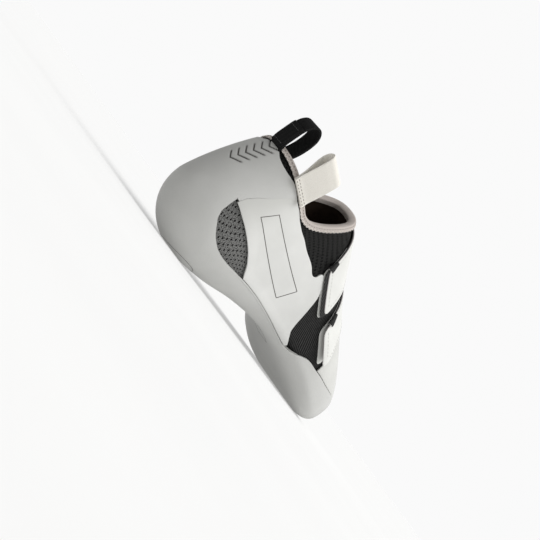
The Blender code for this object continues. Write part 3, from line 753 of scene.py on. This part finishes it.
# A low bead along the rubber's upper edge, on the sides only.
BEAD_HIGH = 0.4
BEAD_WIDE = 0.022
BEAD_X = (64.0, 150.0)
BEAD_FADE = 10.0
# Short grooves up the back of the heel, slanting up to both sides.
GROOVES = 6
GROOVE_FIRST_Z = 61.1
GROOVE_STEP = 4.65
GROOVE_SLANT = 0.5
GROOVE_HALF = 8.0
GROOVE_DEEP = 0.6
GROOVE_WIDE = 0.8
GROOVE_SOFT = 0.5
GROOVE_END = 2.2
GROOVE_REAR_X = -85.0


def grooves(points):
    """Depth of the short grooves on the back of the heel."""
    aside = np.abs(points[..., 1] + ORIGIN[1])
    row = (points[..., 2] - GROOVE_SLANT * aside - GROOVE_FIRST_Z) / GROOVE_STEP
    off = np.abs(row - np.round(row)) * GROOVE_STEP
    inside = (row > -0.4) & (row < GROOVES - 0.6) & (points[..., 0] < GROOVE_REAR_X)
    ends = ease((GROOVE_HALF - aside) / GROOVE_END)
    return np.where(inside, GROOVE_DEEP * ease((GROOVE_WIDE - off) / GROOVE_SOFT) * ends, 0.0)


def bead(s, v):
    """Height of the bead that runs along the rubber's upper edge."""
    x = x_of(s)
    here = ease((x - BEAD_X[0]) / BEAD_FADE) * ease((BEAD_X[1] - x) / BEAD_FADE)
    return BEAD_HIGH * here * ease(1 - np.abs(rand_edge(s) - BEAD_WIDE / 2 - v) / BEAD_WIDE)


TROUGH_STEPS = 40
TROUGH_END = 0.3
# Soft troughs in the rubber, each a line of ring places s and heights v with its half width and depth.
TROUGHS = (
    (((1.46, 1.275), (1.27, 0.83), (1.117, 0.56)), 11.0, 0.45),
    (((0.873, 0.65), (0.555, 0.66), (0.358, 0.715)), 8.0, 0.35),
)


def troughs(points):
    """Depth of the soft troughs at points of the form."""
    depth = np.zeros(points.shape[:-1])
    for line, half, deep in TROUGHS:
        share = np.linspace(0, len(line) - 1, TROUGH_STEPS)
        s, v = (np.interp(share, range(len(line)), row) for row in np.array(line).T)
        track, _ = at(s, v, np.zeros_like(s))
        fade = ease(np.minimum(np.linspace(0, 1, TROUGH_STEPS), np.linspace(1, 0, TROUGH_STEPS)) / TROUGH_END)
        far = np.linalg.norm(points[..., None, :] - track, axis=-1)
        depth = np.maximum(depth, deep * (ease(1 - far / half) * fade).max(axis=-1))
    return depth


def build_shell():
    """Moulded rubber: sole, rand round the foot and heel cup in one."""
    s = ring_columns()
    low_v = rand_edge(s)[:, None] * (1 - (1 - np.linspace(0, 1, SOLE_ROWS + 1)) ** SOLE_CROWDING)
    cup = s[(s >= s_of_turn(CUP_TURN) - TINY) & (s <= s_of_turn(180 - CUP_TURN) + TINY)]
    turn = (slant(cup, CUP_TOP_ROWS[0][1]) - 1) * 180
    rim = smooth(CUP_TOP_ROWS, np.minimum(turn, 180 - turn))
    top_v = between(np.full_like(rim, CUP_LOW), rim, CUP_ROWS)
    bm = bmesh.new()
    for places, heights in ((s[:, None], low_v), (slant(cup[:, None], top_v), top_v)):
        points, out = at(places, heights, -bead(places, heights))
        points -= out * (grooves(points) + troughs(points))[..., None]
        lay(bm, points, out)
    bmesh.ops.remove_doubles(bm, verts=bm.verts, dist=WELD * MM)
    made = shown("rubber_shell", bm, [SOLE_RUBBER], ["sole"])
    spots = np.array([vert.co for vert in made.data.vertices]) / MM
    mark(made, "groove", grooves(spots) / GROOVE_DEEP)
    return thicken(made, SHELL_THICK, SHELL_RIM)


def side_places(front_x, side_steps, turn, back_steps):
    """Ring places from an x on the outer side back to a turn of the heel."""
    along = s_of(np.linspace(front_x, HEEL_X, side_steps + 1))
    return np.concatenate([along, np.linspace(1, s_of_turn(turn), back_steps + 1)[1:]])


# Panels and toe cover lie flush with the rubber at their edges and sink to the sheet's depth within a fade.
SHEET_THICK = 1.0
SHEET_RIM = 0.3
PANEL_SIDE_STEPS = 160
PANEL_BACK_STEPS = 32
PANEL_LANES = 48
PANEL_SUNK = 0.3
PANEL_TUCK = 0.25
PANEL_LEAST = 0.05
PANEL_LOW_FADE = 0.18
PANEL_BACK_FADE = 0.16
NEAR_CUP_FADE = 0.40


def build_panel(name, side, top_rows, node):
    """Smooth synthetic panel over one side of the sock, behind the throat."""
    s = side_places(top_rows[-1][0], PANEL_SIDE_STEPS, CUP_TURN - PANEL_TUCK, PANEL_BACK_STEPS)
    x = x_of(s)
    low = rand_edge(s) + SEAM
    low = np.where(x < PANEL_LOW_ROWS[-1][0], np.maximum(low, smooth(PANEL_LOW_ROWS, x)), low)
    top = np.maximum(smooth(top_rows, x), low + PANEL_LEAST)
    v = between(low, top, PANEL_LANES)
    rise = ease((v - low[:, None]) / PANEL_LOW_FADE) * ease((s[-1] - s) / PANEL_BACK_FADE)[:, None]
    depth = PANEL_SUNK + (RAND_THICK - PANEL_THICK - PANEL_SUNK) * rise
    places = on_side(slant(s[:, None], v), side)
    made = over_form(name, places, v, depth, [PANEL], [node])
    mark(made, "near_cup", np.repeat(1 - ease((s[-1] - s) / NEAR_CUP_FADE), PANEL_LANES + 1))
    return thicken(made, SHEET_THICK, SHEET_RIM)


# The window's mesh reaches behind the edges round it, by shares of the height v.
WINDOW_FRONT_X = 78.0
WINDOW_TURN = 45.0
WINDOW_SIDE_STEPS = 40
WINDOW_BACK_STEPS = 32
WINDOW_LANES = 24
WINDOW_LOW_MOST = 1.10
WINDOW_BELOW = 0.06
WINDOW_ABOVE = 0.09
WINDOW_DEPTH = 1.95
WINDOW_THICK = 0.3


def build_window(name, side):
    """Perforated mesh that fills the window between the rand, the heel cup and the side panel."""
    s = side_places(WINDOW_FRONT_X, WINDOW_SIDE_STEPS, WINDOW_TURN, WINDOW_BACK_STEPS)
    low = rand_edge(s).clip(0, WINDOW_LOW_MOST) - WINDOW_BELOW
    top = np.maximum(smooth(PANEL_LOW_ROWS, x_of(s)), low) + WINDOW_ABOVE
    v = between(low, top, WINDOW_LANES)
    made = over_form(name, on_side(s[:, None], side), v, WINDOW_DEPTH, [WINDOW_MESH])
    return thicken(made, WINDOW_THICK)


# The sock's lower edge, as a share of the way from the middle of the sole to the rubber's edge.
SOCK_LOW = 5 / 7
SOCK_TOP = 1.99
SOCK_LANES = 60
SOCK_CLOSED = 0.1
ELASTIC_X = -12.0


def build_sock():
    """Sock of black knit round the foot, lined with brown cloth, open at the collar and under the foot."""
    s = ring_columns()
    low = rand_edge(s).clip(0, 1.0) * SOCK_LOW
    top = np.where(x_of(s) > FRONT_X + SOCK_CLOSED, 2.0, SOCK_TOP)
    v = between(low, top, SOCK_LANES)
    finishes = [BLACK_KNIT, LINING, ELASTIC, LINING]
    made = over_form("sock", s[:, None], v, rubber_depth(v) + GAP, finishes, ["upper"], WELD)
    for face in made.data.polygons:
        if face.center.x > ELASTIC_X * MM:
            face.material_index = finishes.index(ELASTIC)
    return thicken(made, UPPER_THICK, lining=1)


INSOLE_LANES = 24
INSOLE_SHORT = 0.012
INSOLE_WELD = 0.5


def build_insole():
    """Footbed lying in the sole."""
    s = ring_columns()[::2]
    top = rand_edge(s).clip(0, 1.0) * SOCK_LOW - INSOLE_SHORT
    v = between(np.zeros_like(top), top, INSOLE_LANES)
    made = over_form("footbed", s[:, None], v, rubber_depth(v) + 2 * GAP, [FELT], ["insole"],
                     INSOLE_WELD)
    return thicken(made, INSOLE_THICK)


PATCH_BACK_X = 166.0
PATCH_SIDE_STEPS = 40
PATCH_TOE_STEPS = 60
PATCH_LANES = 32
PATCH_SUNK = 0.25
PATCH_FADE = 0.3


def build_toe_patch():
    """Rubber patch over the top of the toes, inside the rand's upper edge."""
    inner = s_of(np.linspace(PATCH_BACK_X, TOE_X, PATCH_SIDE_STEPS + 1), 1)
    toe = 3 + np.linspace(0, 1, PATCH_TOE_STEPS + 1)[1:-1]
    outer = 4 + s_of(np.linspace(TOE_X, PATCH_BACK_X, PATCH_SIDE_STEPS + 1))
    s = np.concatenate([inner, toe, outer])
    low = rand_edge(s) + SEAM
    v = between(low, np.full_like(low, 2.0), PATCH_LANES)
    depth = PATCH_SUNK + (RAND_THICK - PANEL_THICK - PATCH_SUNK) * ease((v - low[:, None]) / PATCH_FADE)
    made = over_form("toe_cover", s[:, None], v, depth, [PATCH_RUBBER], ["toe_patch"], WELD)
    return thicken(made, SHEET_THICK, SHEET_RIM)


# The tape's section: two legs down to a shoulder, and a crown of a low and a round part over the fold.
BINDING_SHOULDER = 0.3
BINDING_CROWN = (0.1, 0.9)
BINDING_LEG_STEPS = 5
BINDING_FOLD_STEPS = 10
BINDING_HEEL_STEPS = 60
BINDING_RIM = 0.2
# Its rows of stitches: name, drop below the edge, thread, (pitch, length, width) and swing.
BINDING_ROWS = (
    ("collar_stitches_seam", 0.9, DARK_THREAD, (2.4, 1.3, 0.5), 0.0),
    ("collar_stitches_zigzag", 2.7, TAPE_THREAD, (1.6, 2.3, 0.5), math.radians(52)),
)
BINDING_STITCH_HIGH = 0.05


def build_binding():
    """Tape folded over the collar's edge, rounded at the fold."""
    face = KNIT_DEPTH - BINDING_SLACK - TAPE_THICK
    back = KNIT_DEPTH + UPPER_THICK + BINDING_SLACK + TAPE_THICK
    leg = np.linspace(BINDING_LEG, BINDING_SHOULDER, BINDING_LEG_STEPS + 1)
    bend = np.linspace(0, math.pi, BINDING_FOLD_STEPS + 1)
    fold = face + (back - face) * (0.5 - 0.5 * np.cos(bend))
    depths = np.concatenate([np.full_like(leg, face), fold, np.full_like(leg, back)])
    drops = np.concatenate([leg, -BINDING_CROWN[0] - BINDING_CROWN[1] * np.sin(bend), leg[::-1]])
    rear = SIDE_S[SIDE_S >= THROAT_S]
    heel = 1 + np.linspace(0, 1, BINDING_HEEL_STEPS + 1)[1:]
    edge, out = at(np.concatenate([rear, heel, 3 - rear[::-1][1:]]), 2.0)
    along = unit(np.roll(edge, -1, axis=0) - np.roll(edge, 1, axis=0))
    out = unit(out - along * np.sum(out * along, axis=1, keepdims=True))
    down = np.cross(along, out)
    down *= np.where(down[:, 2:] > 0, -1, 1)
    points = edge[:, None] - out[:, None] * depths[:, None] + down[:, None] * drops[:, None]
    toward = np.repeat(out[:, None], len(drops), axis=1)
    toward[:, len(drops) // 2:] *= -1
    bm = bmesh.new()
    lay(bm, points, toward)
    bmesh.ops.remove_doubles(bm, verts=bm.verts, dist=WELD * MM)
    made = shown("collar_tape", bm, [TAPE], ["collar_binding"])
    thicken(made, TAPE_THICK, BINDING_RIM)
    for name, drop, finish, stitch, swing in BINDING_ROWS:
        line = edge - out * (face - BINDING_STITCH_HIGH) + down * drop
        stitch_row(name, line, out, stitch, finish, swing)


STRAP_COLUMNS = ("name", "outer_x", "ridge_x", "inner_x", "width", "rear_v", "front_v", "inner_v", "lift",
                 "front_lift", "over_panel", "face_short", "webbing_short", "base_long", "roll")
STRAP_ROWS = (
    ("strap_upper", 123.0, 127.0, 126.0, 24.0, 1.42, 1.24, 1.10, 1.0, 0.0, True, 3.6, 0.0, 1.2, 2.3),
    ("strap_lower", 153.0, 153.0, 150.0, 21.0, 1.24, 1.10, 1.12, 2.4, 1.2, False, 0.0, 2.5, 1.5, 2.0),
)
STRAP_STEPS = 96
STRAP_LANES = 24
STRAP_FREE = 0.28
STRAP_CLIMB = (0.28, 0.50)
STRAP_HALF = 60.0
STRAP_CORNER = 3.0
STRAP_RIM = 0.2
# Layers of a strap, as heights above its underside, and how far they lie in from its edges.
STRAP_BASE = (0.02, 0.6)
STRAP_WEBBING = (0.65, 1.2)
STRAP_FACE_HIGH = (1.22, 2.0)
BASE_INSET = 0.4
BASE_STOP = -0.55
FACE_INSET = 0.35
# A strap's stitches as pitch, length and width, the lanes of its long seams, and their first and last step.
STRAP_STITCH = (2.6, 1.9, 0.40)
STRAP_SEAMS = (("rear", 2), ("front", STRAP_LANES - 2))
SEAM_SPAN = (4, -2)
END_SEAM = 3


def strap_sheet(strap, margin, short, depth_rule, stop=1.0):
    """Points of a strap's layer, inset by a margin and short of its outer end, with rounded corners there."""
    bend = (strap["outer_x"] + strap["inner_x"]) / 2 - strap["ridge_x"]
    lean = (strap["inner_x"] - strap["outer_x"]) / 2
    ahead = np.linspace(margin / strap["width"], 1 - margin / strap["width"], STRAP_LANES + 1)[None, :]
    from_edge = np.minimum(ahead, 1 - ahead) * strap["width"] - margin
    cut = STRAP_CORNER - np.sqrt(STRAP_CORNER**2 - (STRAP_CORNER - from_edge.clip(0, STRAP_CORNER)) ** 2)
    start = -1 + (short + cut) / STRAP_HALF
    t = start + (stop - start) * np.linspace(0, 1, STRAP_STEPS + 1)[:, None]
    x = strap["ridge_x"] + bend * t * t + lean * t + strap["width"] * (ahead - 0.5)
    outer_v = strap["rear_v"] + (strap["front_v"] - strap["rear_v"]) * ahead
    v = 2 - (2 - np.where(t < 0, outer_v, strap["inner_v"])) * np.abs(t)
    s = np.where(t < 0, s_of(x), s_of(x, 1))
    return at(s, v, depth_rule(t, ahead))


def strap_layer(strap, layer, margin, short, heights, finishes, nodes=(), lifted=True, stop=1.0):
    """One layer of a strap, between two heights above its underside."""
    def depth(t, ahead):
        free = ease((-t - 1 + STRAP_FREE) / STRAP_FREE)
        lift = (strap["lift"] + strap["front_lift"] * ahead) * free * lifted
        climb = ease((t - STRAP_CLIMB[0]) / (STRAP_CLIMB[1] - STRAP_CLIMB[0])) * strap["over_panel"]
        return RAND_THICK - (PANEL_THICK + GAP) * climb - lift - heights[1] + 0 * ahead

    points, out = strap_sheet(strap, margin, short, depth, stop)
    bm = bmesh.new()
    lay(bm, points, out)
    made = shown(strap["name"] + "_" + layer, bm, finishes, nodes)
    thicken(made, heights[1] - heights[0], STRAP_RIM, edge=len(finishes) - 1)
    return points, out


# The rear edge rolled back at the strap's outer end: its turns, its taper, where its middle lies, its skins.
ROLL_STEPS = 8
ROLL_TURNS = (math.radians(-75), math.radians(165))
ROLL_TURN_STEPS = 18
ROLL_TAPER = 0.55
ROLL_BACK = 0.3
ROLL_RISE = 0.62
ROLL_SKIN = 0.7
ROLL_RIM = 0.15
HEM_GAP = 0.05
HEM_SKIN = 0.45


def strap_roll(strap, layer, points, out, radius, thick, finish):
    """The strap's rear edge rolled back on itself at its outer end, open like a hem."""
    spine = points[:ROLL_STEPS, 0]
    normal = out[:ROLL_STEPS, 0]
    back = np.cross(unit(np.gradient(spine, axis=0)), normal)
    back *= np.sign(np.sum(back * (spine - points[:ROLL_STEPS, STRAP_LANES // 2]), axis=1))[:, None]
    shrink = np.linspace(1, ROLL_TAPER, ROLL_STEPS)[:, None, None]
    turn = np.linspace(*ROLL_TURNS, ROLL_TURN_STEPS + 1)[None, :, None]
    toward = back[:, None] * np.cos(turn) + normal[:, None] * np.sin(turn)
    centre = spine + back * ROLL_BACK + normal * (strap["roll"] * ROLL_RISE)
    bm = bmesh.new()
    lay(bm, centre[:, None] + toward * radius * shrink, toward)
    made = shown(strap["name"] + "_" + layer, bm, [finish])
    thicken(made, thick, ROLL_RIM)


def build_strap(row):
    """Hook-and-loop strap: a pale base on the foot, dark webbing and a pale face, with a rolled rear edge."""
    strap = dict(zip(STRAP_COLUMNS, row))
    name = strap["name"]
    roll = strap["roll"]
    strap_layer(strap, "base", BASE_INSET, -strap["base_long"], STRAP_BASE, [STRAP_FACE], lifted=False,
                stop=BASE_STOP)
    webbing, away = strap_layer(strap, "webbing", 0.0, strap["webbing_short"], STRAP_WEBBING, [STRAP_WEB])
    points, out = strap_layer(strap, "face", FACE_INSET, strap["face_short"], STRAP_FACE_HIGH,
                              [STRAP_FACE, STRAP_EDGE], [name])
    strap_roll(strap, "roll", webbing, away, roll, ROLL_SKIN, STRAP_WEB)
    strap_roll(strap, "hem", webbing, away, roll - ROLL_SKIN - HEM_GAP, HEM_SKIN, STRAP_FACE)
    seams = [(side, (slice(*SEAM_SPAN), lane)) for side, lane in STRAP_SEAMS]
    seams.append(("end", (END_SEAM, slice(END_SEAM, -END_SEAM))))
    for side, cut in seams:
        stitch_row(name + "_stitches_" + side, points[cut], out[cut], STRAP_STITCH, PALE_THREAD)


# Sections of the heel loop and the tab, as (out, up) from the collar's edge.
HEEL_LOOP_WIDTH = 12.0
HEEL_LOOP_THICK = 1.6
HEEL_LOOP_ROWS = ((0.6, -7.0), (1.2, -5.0), (2.0, -3.0), (2.7, -0.5), (2.95, 2.5), (2.9, 5.0), (2.8, 9.5),
                  (2.5, 14.0), (1.2, 18.6), (-1.6, 22.0), (-4.8, 22.9), (-8.0, 21.6), (-10.4, 18.4),
                  (-11.3, 14.0), (-11.3, 9.0), (-10.6, 4.0), (-9.2, -0.6), (-7.3, -4.4), (-5.2, -7.4),
                  (-2.9, -9.2), (-0.7, -10.5), (0.7, -12.3), (2.0, -14.6))
LOOP_STEPS = 140
LOOP_LAP_STEPS = (8, 40)
LOOP_LAP_THICK = 1.1
LOOP_LAP_INSET = 0.8
LOOP_SEAM_STEPS = (12, 34)
LOOP_SEAM_SHARE = 0.84
LOOP_STITCH = (1.9, 1.4, 0.42)
TAB_X = 34.0
TAB_WIDTH = 19.0
TAB_THICK = 1.0
TAB_LEAN = math.radians(14)
# The tab's foot and crest slope down towards the toe, as the collar does there.
TAB_SLOPE = math.radians(20)
TAB_ROWS = (
    (0.7, -3.5), (0.7, 0.0), (-0.6, 5.0), (-3.0, 11.0), (-5.0, 16.0), (-5.7, 19.5), (-4.8, 22.4),
    (-2.5, 24.0), (0.2, 24.2), (2.2, 22.4), (2.9, 18.5), (2.9, 12.0), (2.6, 6.0), (2.3, 0.0), (2.3, -3.5),
)
TAB_STEPS = 90
TAB_SEAMS = (-2.7, -1.1)
TAB_SEAM_SHARE = 0.92
TAB_STITCH = (2.2, 1.5, 0.42)
BAND_LANES = 12
BAND_RIM = 0.25
ROUNDING = 6


def collar_edge(turn):
    """The collar's edge at a heel turn in degrees, and the level direction out of the heel there."""
    points, out = at(np.array([float(s_of_turn(turn))]), np.array([2.0]), np.zeros(1))
    level = out[0] * np.array([1, 1, 0])
    return points[0], level / np.linalg.norm(level)


def rounded(path, steps):
    """A smooth curve of equal steps through the points of a path."""
    run = run_along(path)
    fine = np.linspace(0, run[-1], ROUNDING * steps)
    curve = np.stack([smooth(np.stack([run, path[:, k]], 1), fine) for k in range(3)], 1)
    return even(curve, steps)


def band(name, path, across, width, thick, finish, nodes=()):
    """A flat band along a path: across is the direction of its width."""
    out = unit(np.cross(np.gradient(path, axis=0), across))
    points = path[:, None] + across * (width * np.linspace(-0.5, 0.5, BAND_LANES + 1))[:, None]
    bm = bmesh.new()
    lay(bm, points, np.repeat(out[:, None], BAND_LANES + 1, axis=1))
    made = shown(name, bm, [finish], nodes)
    return thicken(made, thick, BAND_RIM, 0.0)


def build_heel_loop():
    """Pull loop of webbing at the back of the heel, with its outer leg doubled and sewn."""
    edge, level = collar_edge(90.0)
    across = np.cross(UP, level)
    path = rounded(np.array([edge + level * away + UP * rise for away, rise in HEEL_LOOP_ROWS]), LOOP_STEPS)
    band("heel_loop_webbing", path, across, HEEL_LOOP_WIDTH, HEEL_LOOP_THICK, WEBBING,
         ["heel_loop"])
    out = unit(np.cross(across, np.gradient(path, axis=0)))
    out *= np.sign(np.sum(out[LOOP_LAP_STEPS[0]] * level))
    lap = slice(*LOOP_LAP_STEPS)
    gap = (HEEL_LOOP_THICK + LOOP_LAP_THICK) / 2
    band("heel_loop_lap", path[lap] + out[lap] * gap, across, HEEL_LOOP_WIDTH - LOOP_LAP_INSET,
         LOOP_LAP_THICK, WEBBING)
    reach = across * HEEL_LOOP_WIDTH * LOOP_SEAM_SHARE
    for k, step in enumerate(LOOP_SEAM_STEPS):
        centre = path[step] + out[step] * (gap + LOOP_LAP_THICK / 2)
        seam_across("heel_loop_stitches_%d" % k, centre, reach, out[step], LOOP_STITCH, BLACK_THREAD)


def build_tab():
    """Pull tab of cotton tape, folded double and sewn on outside the collar."""
    foot, level = collar_edge(math.degrees(math.asin((HEEL_X - TAB_X) / HEEL_REACH)))
    leaning = UP * math.cos(TAB_LEAN) + level * math.sin(TAB_LEAN)
    path = np.array([foot + level * away + (leaning if rise > 0 else UP) * rise for away, rise in TAB_ROWS])
    across = np.cross(UP, level) * math.cos(TAB_SLOPE) - UP * math.sin(TAB_SLOPE)
    band("pull_tab_tape", rounded(path, TAB_STEPS), across, TAB_WIDTH, TAB_THICK, COTTON,
         ["pull_tab"])
    face = foot + level * (TAB_ROWS[-1][0] + TAB_THICK / 2)
    for k, rise in enumerate(TAB_SEAMS):
        seam_across("pull_tab_stitches_%d" % k, face + UP * rise, across * TAB_WIDTH * TAB_SEAM_SHARE, level,
                    TAB_STITCH, DARK_THREAD)


# Corners of the plain frames, in the form's measure: on the outer panel as (x, z), under the arch as (x, y).
PANEL_FRAME = ((37, 56), (45, 66), (108, 49), (102, 36))
ARCH_FRAME = ((117.6, 4.6), (117.6, -8.0), (156.8, -7.8), (156.8, 4.6))
HEEL_RING_CENTRE = (44.5, -3.5)
HEEL_RING_RADIUS = 15.0
LINE_WIDE = 0.55
LINE_HIGH = 0.04
LINE_THICK = 0.05
LINE_STEPS = 40


def closed_track(corners):
    """The sides of a frame between its corners, each with equal steps."""
    corners = np.array(corners, float)
    share = np.linspace(0, 1, LINE_STEPS + 1)[:, None]
    return [here + (there - here) * share for here, there in zip(corners, np.roll(corners, -1, axis=0))]


def ring_track(centre, radius):
    turn = np.linspace(0, 2 * math.pi, 4 * LINE_STEPS + 1)
    return [np.array(centre) + radius * np.stack([np.cos(turn), np.sin(turn)], 1)]


def engraved(name, made, tracks, axes, toward):
    """Thin lines painted dark as painted shade: tracks of places on two axes, moved along the third until
    they meet it.
    """
    tree = BVHTree.FromPolygons([vert.co for vert in made.data.vertices],
                                [face.vertices for face in made.data.polygons])
    lanes = np.array([-LINE_WIDE / 2, LINE_WIDE / 2])[:, None]
    bm = bmesh.new()
    for track in tracks:
        spots = np.zeros((len(track), 3))
        spots[:, axes] = track - ORIGIN[axes]
        met = [tree.ray_cast(Vector(spot * MM) - Vector(toward), Vector(toward)) for spot in spots]
        points = np.array([hit[0] for hit in met]) / MM
        out = np.array([hit[1] for hit in met])
        out *= -np.sign(out @ np.array(toward))[:, None]
        aside = unit(np.cross(out, np.gradient(points, axis=0)))
        strip = (points + out * LINE_HIGH)[:, None] + aside[:, None] * lanes
        lay(bm, strip, np.repeat(out[:, None], len(lanes), axis=1))
    return thicken(shown(name, bm, [LINE_SHADE]), LINE_THICK)


shell = build_shell()
engraved("heel_ring", shell, ring_track(HEEL_RING_CENTRE, HEEL_RING_RADIUS), [0, 1], (0, 0, 1))
engraved("arch_frame", shell, closed_track(ARCH_FRAME), [0, 1], (0, 0, 1))
outer_panel = build_panel("side_panel_outer", -1, PANEL_TOP_OUTER, "panel_outer")
engraved("panel_frame", outer_panel, closed_track(PANEL_FRAME), [0, 2], (0, 1, 0))
build_panel("side_panel_inner", 1, PANEL_TOP_INNER, "panel_inner")
build_window("window_outer", -1)
build_window("window_inner", 1)
build_sock()
build_insole()
build_toe_patch()
build_binding()
for strap_row in STRAP_ROWS:
    build_strap(strap_row)
build_heel_loop()
build_tab()


# Floor, light and camera.

FLOOR_GLOW = 0.355
FLOOR_HALF = 12.0
FLOOR_STEPS = 8


def build_floor():
    """Pale floor sheet lit softly from beneath, large enough to have no edge in the picture."""
    made, tree, shader, coords = finish_of("pale_floor")
    cloud = add(tree, "ShaderNodeTexNoise", {"Vector": coords["Object"], "Scale": FLOOR_CLOUD, "Detail": 3.0})
    set_inputs(tree, shader, {"Base Color": two_tone(tree, cloud.outputs["Fac"], "B4B4B3", "B6B6B5"),
                              "Roughness": 0.9, "Emission Color": linear("FFFFFF"),
                              "Emission Strength": FLOOR_GLOW})
    bm = bmesh.new()
    bmesh.ops.create_grid(bm, x_segments=FLOOR_STEPS, y_segments=FLOOR_STEPS, size=FLOOR_HALF)
    mesh = bpy.data.meshes.new("floor")
    bm.to_mesh(mesh)
    bm.free()
    mesh.materials.append(made)
    floor = bpy.data.objects.new("floor", mesh)
    bpy.context.scene.collection.objects.link(floor)


WORLD_BRIGHT_SIDE = (0.66, -0.52, 0.54)
WORLD_RAMP = (-0.8, 0.9)
WORLD_DARK = 0.04
WORLD_LIGHT = 1.05
WORLD_SEEN = 0.955


def build_world():
    """Even studio surround: bright to the camera, softer as light, a little darker on the heel's side."""
    world = bpy.data.worlds.new("studio")
    world.use_nodes = True
    tree = world.node_tree
    path = add(tree, "ShaderNodeLightPath")
    coords = add(tree, "ShaderNodeTexCoord")
    side = add(tree, "ShaderNodeVectorMath", {0: coords.outputs["Generated"], 1: WORLD_BRIGHT_SIDE},
               operation="DOT_PRODUCT")
    soft = add(tree, "ShaderNodeMapRange",
               {"Value": side.outputs["Value"], "From Min": WORLD_RAMP[0], "From Max": WORLD_RAMP[1],
                "To Min": WORLD_DARK, "To Max": WORLD_LIGHT}, interpolation_type="SMOOTHSTEP")
    strength = add(tree, "ShaderNodeMapRange", {"Value": path.outputs["Is Camera Ray"],
                                                "To Min": soft.outputs["Result"], "To Max": WORLD_SEEN})
    set_inputs(tree, tree.nodes["Background"],
               {"Color": linear("FFFFFF"), "Strength": strength.outputs["Result"]})
    bpy.context.scene.world = world


def direction(azimuth, elevation=0.0):
    """Direction away from the shoe in degrees; azimuth 0 is its outer side."""
    a = math.radians(azimuth)
    e = math.radians(elevation)
    return Vector((math.sin(a) * math.cos(e), -math.cos(a) * math.cos(e), math.sin(e)))


KEY_AZIMUTH = 25.0
KEY_ELEVATION = 53.0
KEY_STRENGTH = 1.95
KEY_ANGLE = 55.0


def build_key():
    """A soft sun from the outer side; its wide angle gives the shadows their soft edge."""
    light = bpy.data.lights.new("key", "SUN")
    light.energy = KEY_STRENGTH
    light.angle = math.radians(KEY_ANGLE)
    made = bpy.data.objects.new("key", light)
    made.rotation_euler = direction(KEY_AZIMUTH, KEY_ELEVATION).to_track_quat("Z", "Y").to_euler()
    bpy.context.scene.collection.objects.link(made)


CAMERA_AZIMUTH = -47.0
CAMERA_FAR = 0.95
CAMERA_Z = 0.020
CAMERA_AIM = (-0.0085, 0.0091, 0.043)
CAMERA_ROLL = 54.0
CAMERA_LENS = 96.5
CAMERA_SENSOR = 36.0
CAMERA_NEAR = 0.01


def build_camera():
    """Camera on the photograph's side of the shoe, down at the floor, rolled as the photograph is."""
    data = bpy.data.cameras.new("camera")
    data.lens = CAMERA_LENS
    data.sensor_width = CAMERA_SENSOR
    data.clip_start = CAMERA_NEAR
    made = bpy.data.objects.new("camera", data)
    aim = Vector(CAMERA_AIM)
    place = aim + direction(CAMERA_AZIMUTH) * CAMERA_FAR
    place.z = CAMERA_Z
    turn = (aim - place).to_track_quat("-Z", "Y") @ Quaternion((0, 0, 1), math.radians(CAMERA_ROLL))
    made.matrix_world = Matrix.Translation(place) @ turn.to_matrix().to_4x4()
    bpy.context.scene.collection.objects.link(made)
    bpy.context.scene.camera = made


build_floor()
build_world()
build_key()
build_camera()
bpy.context.scene.view_settings.view_transform = "Standard"
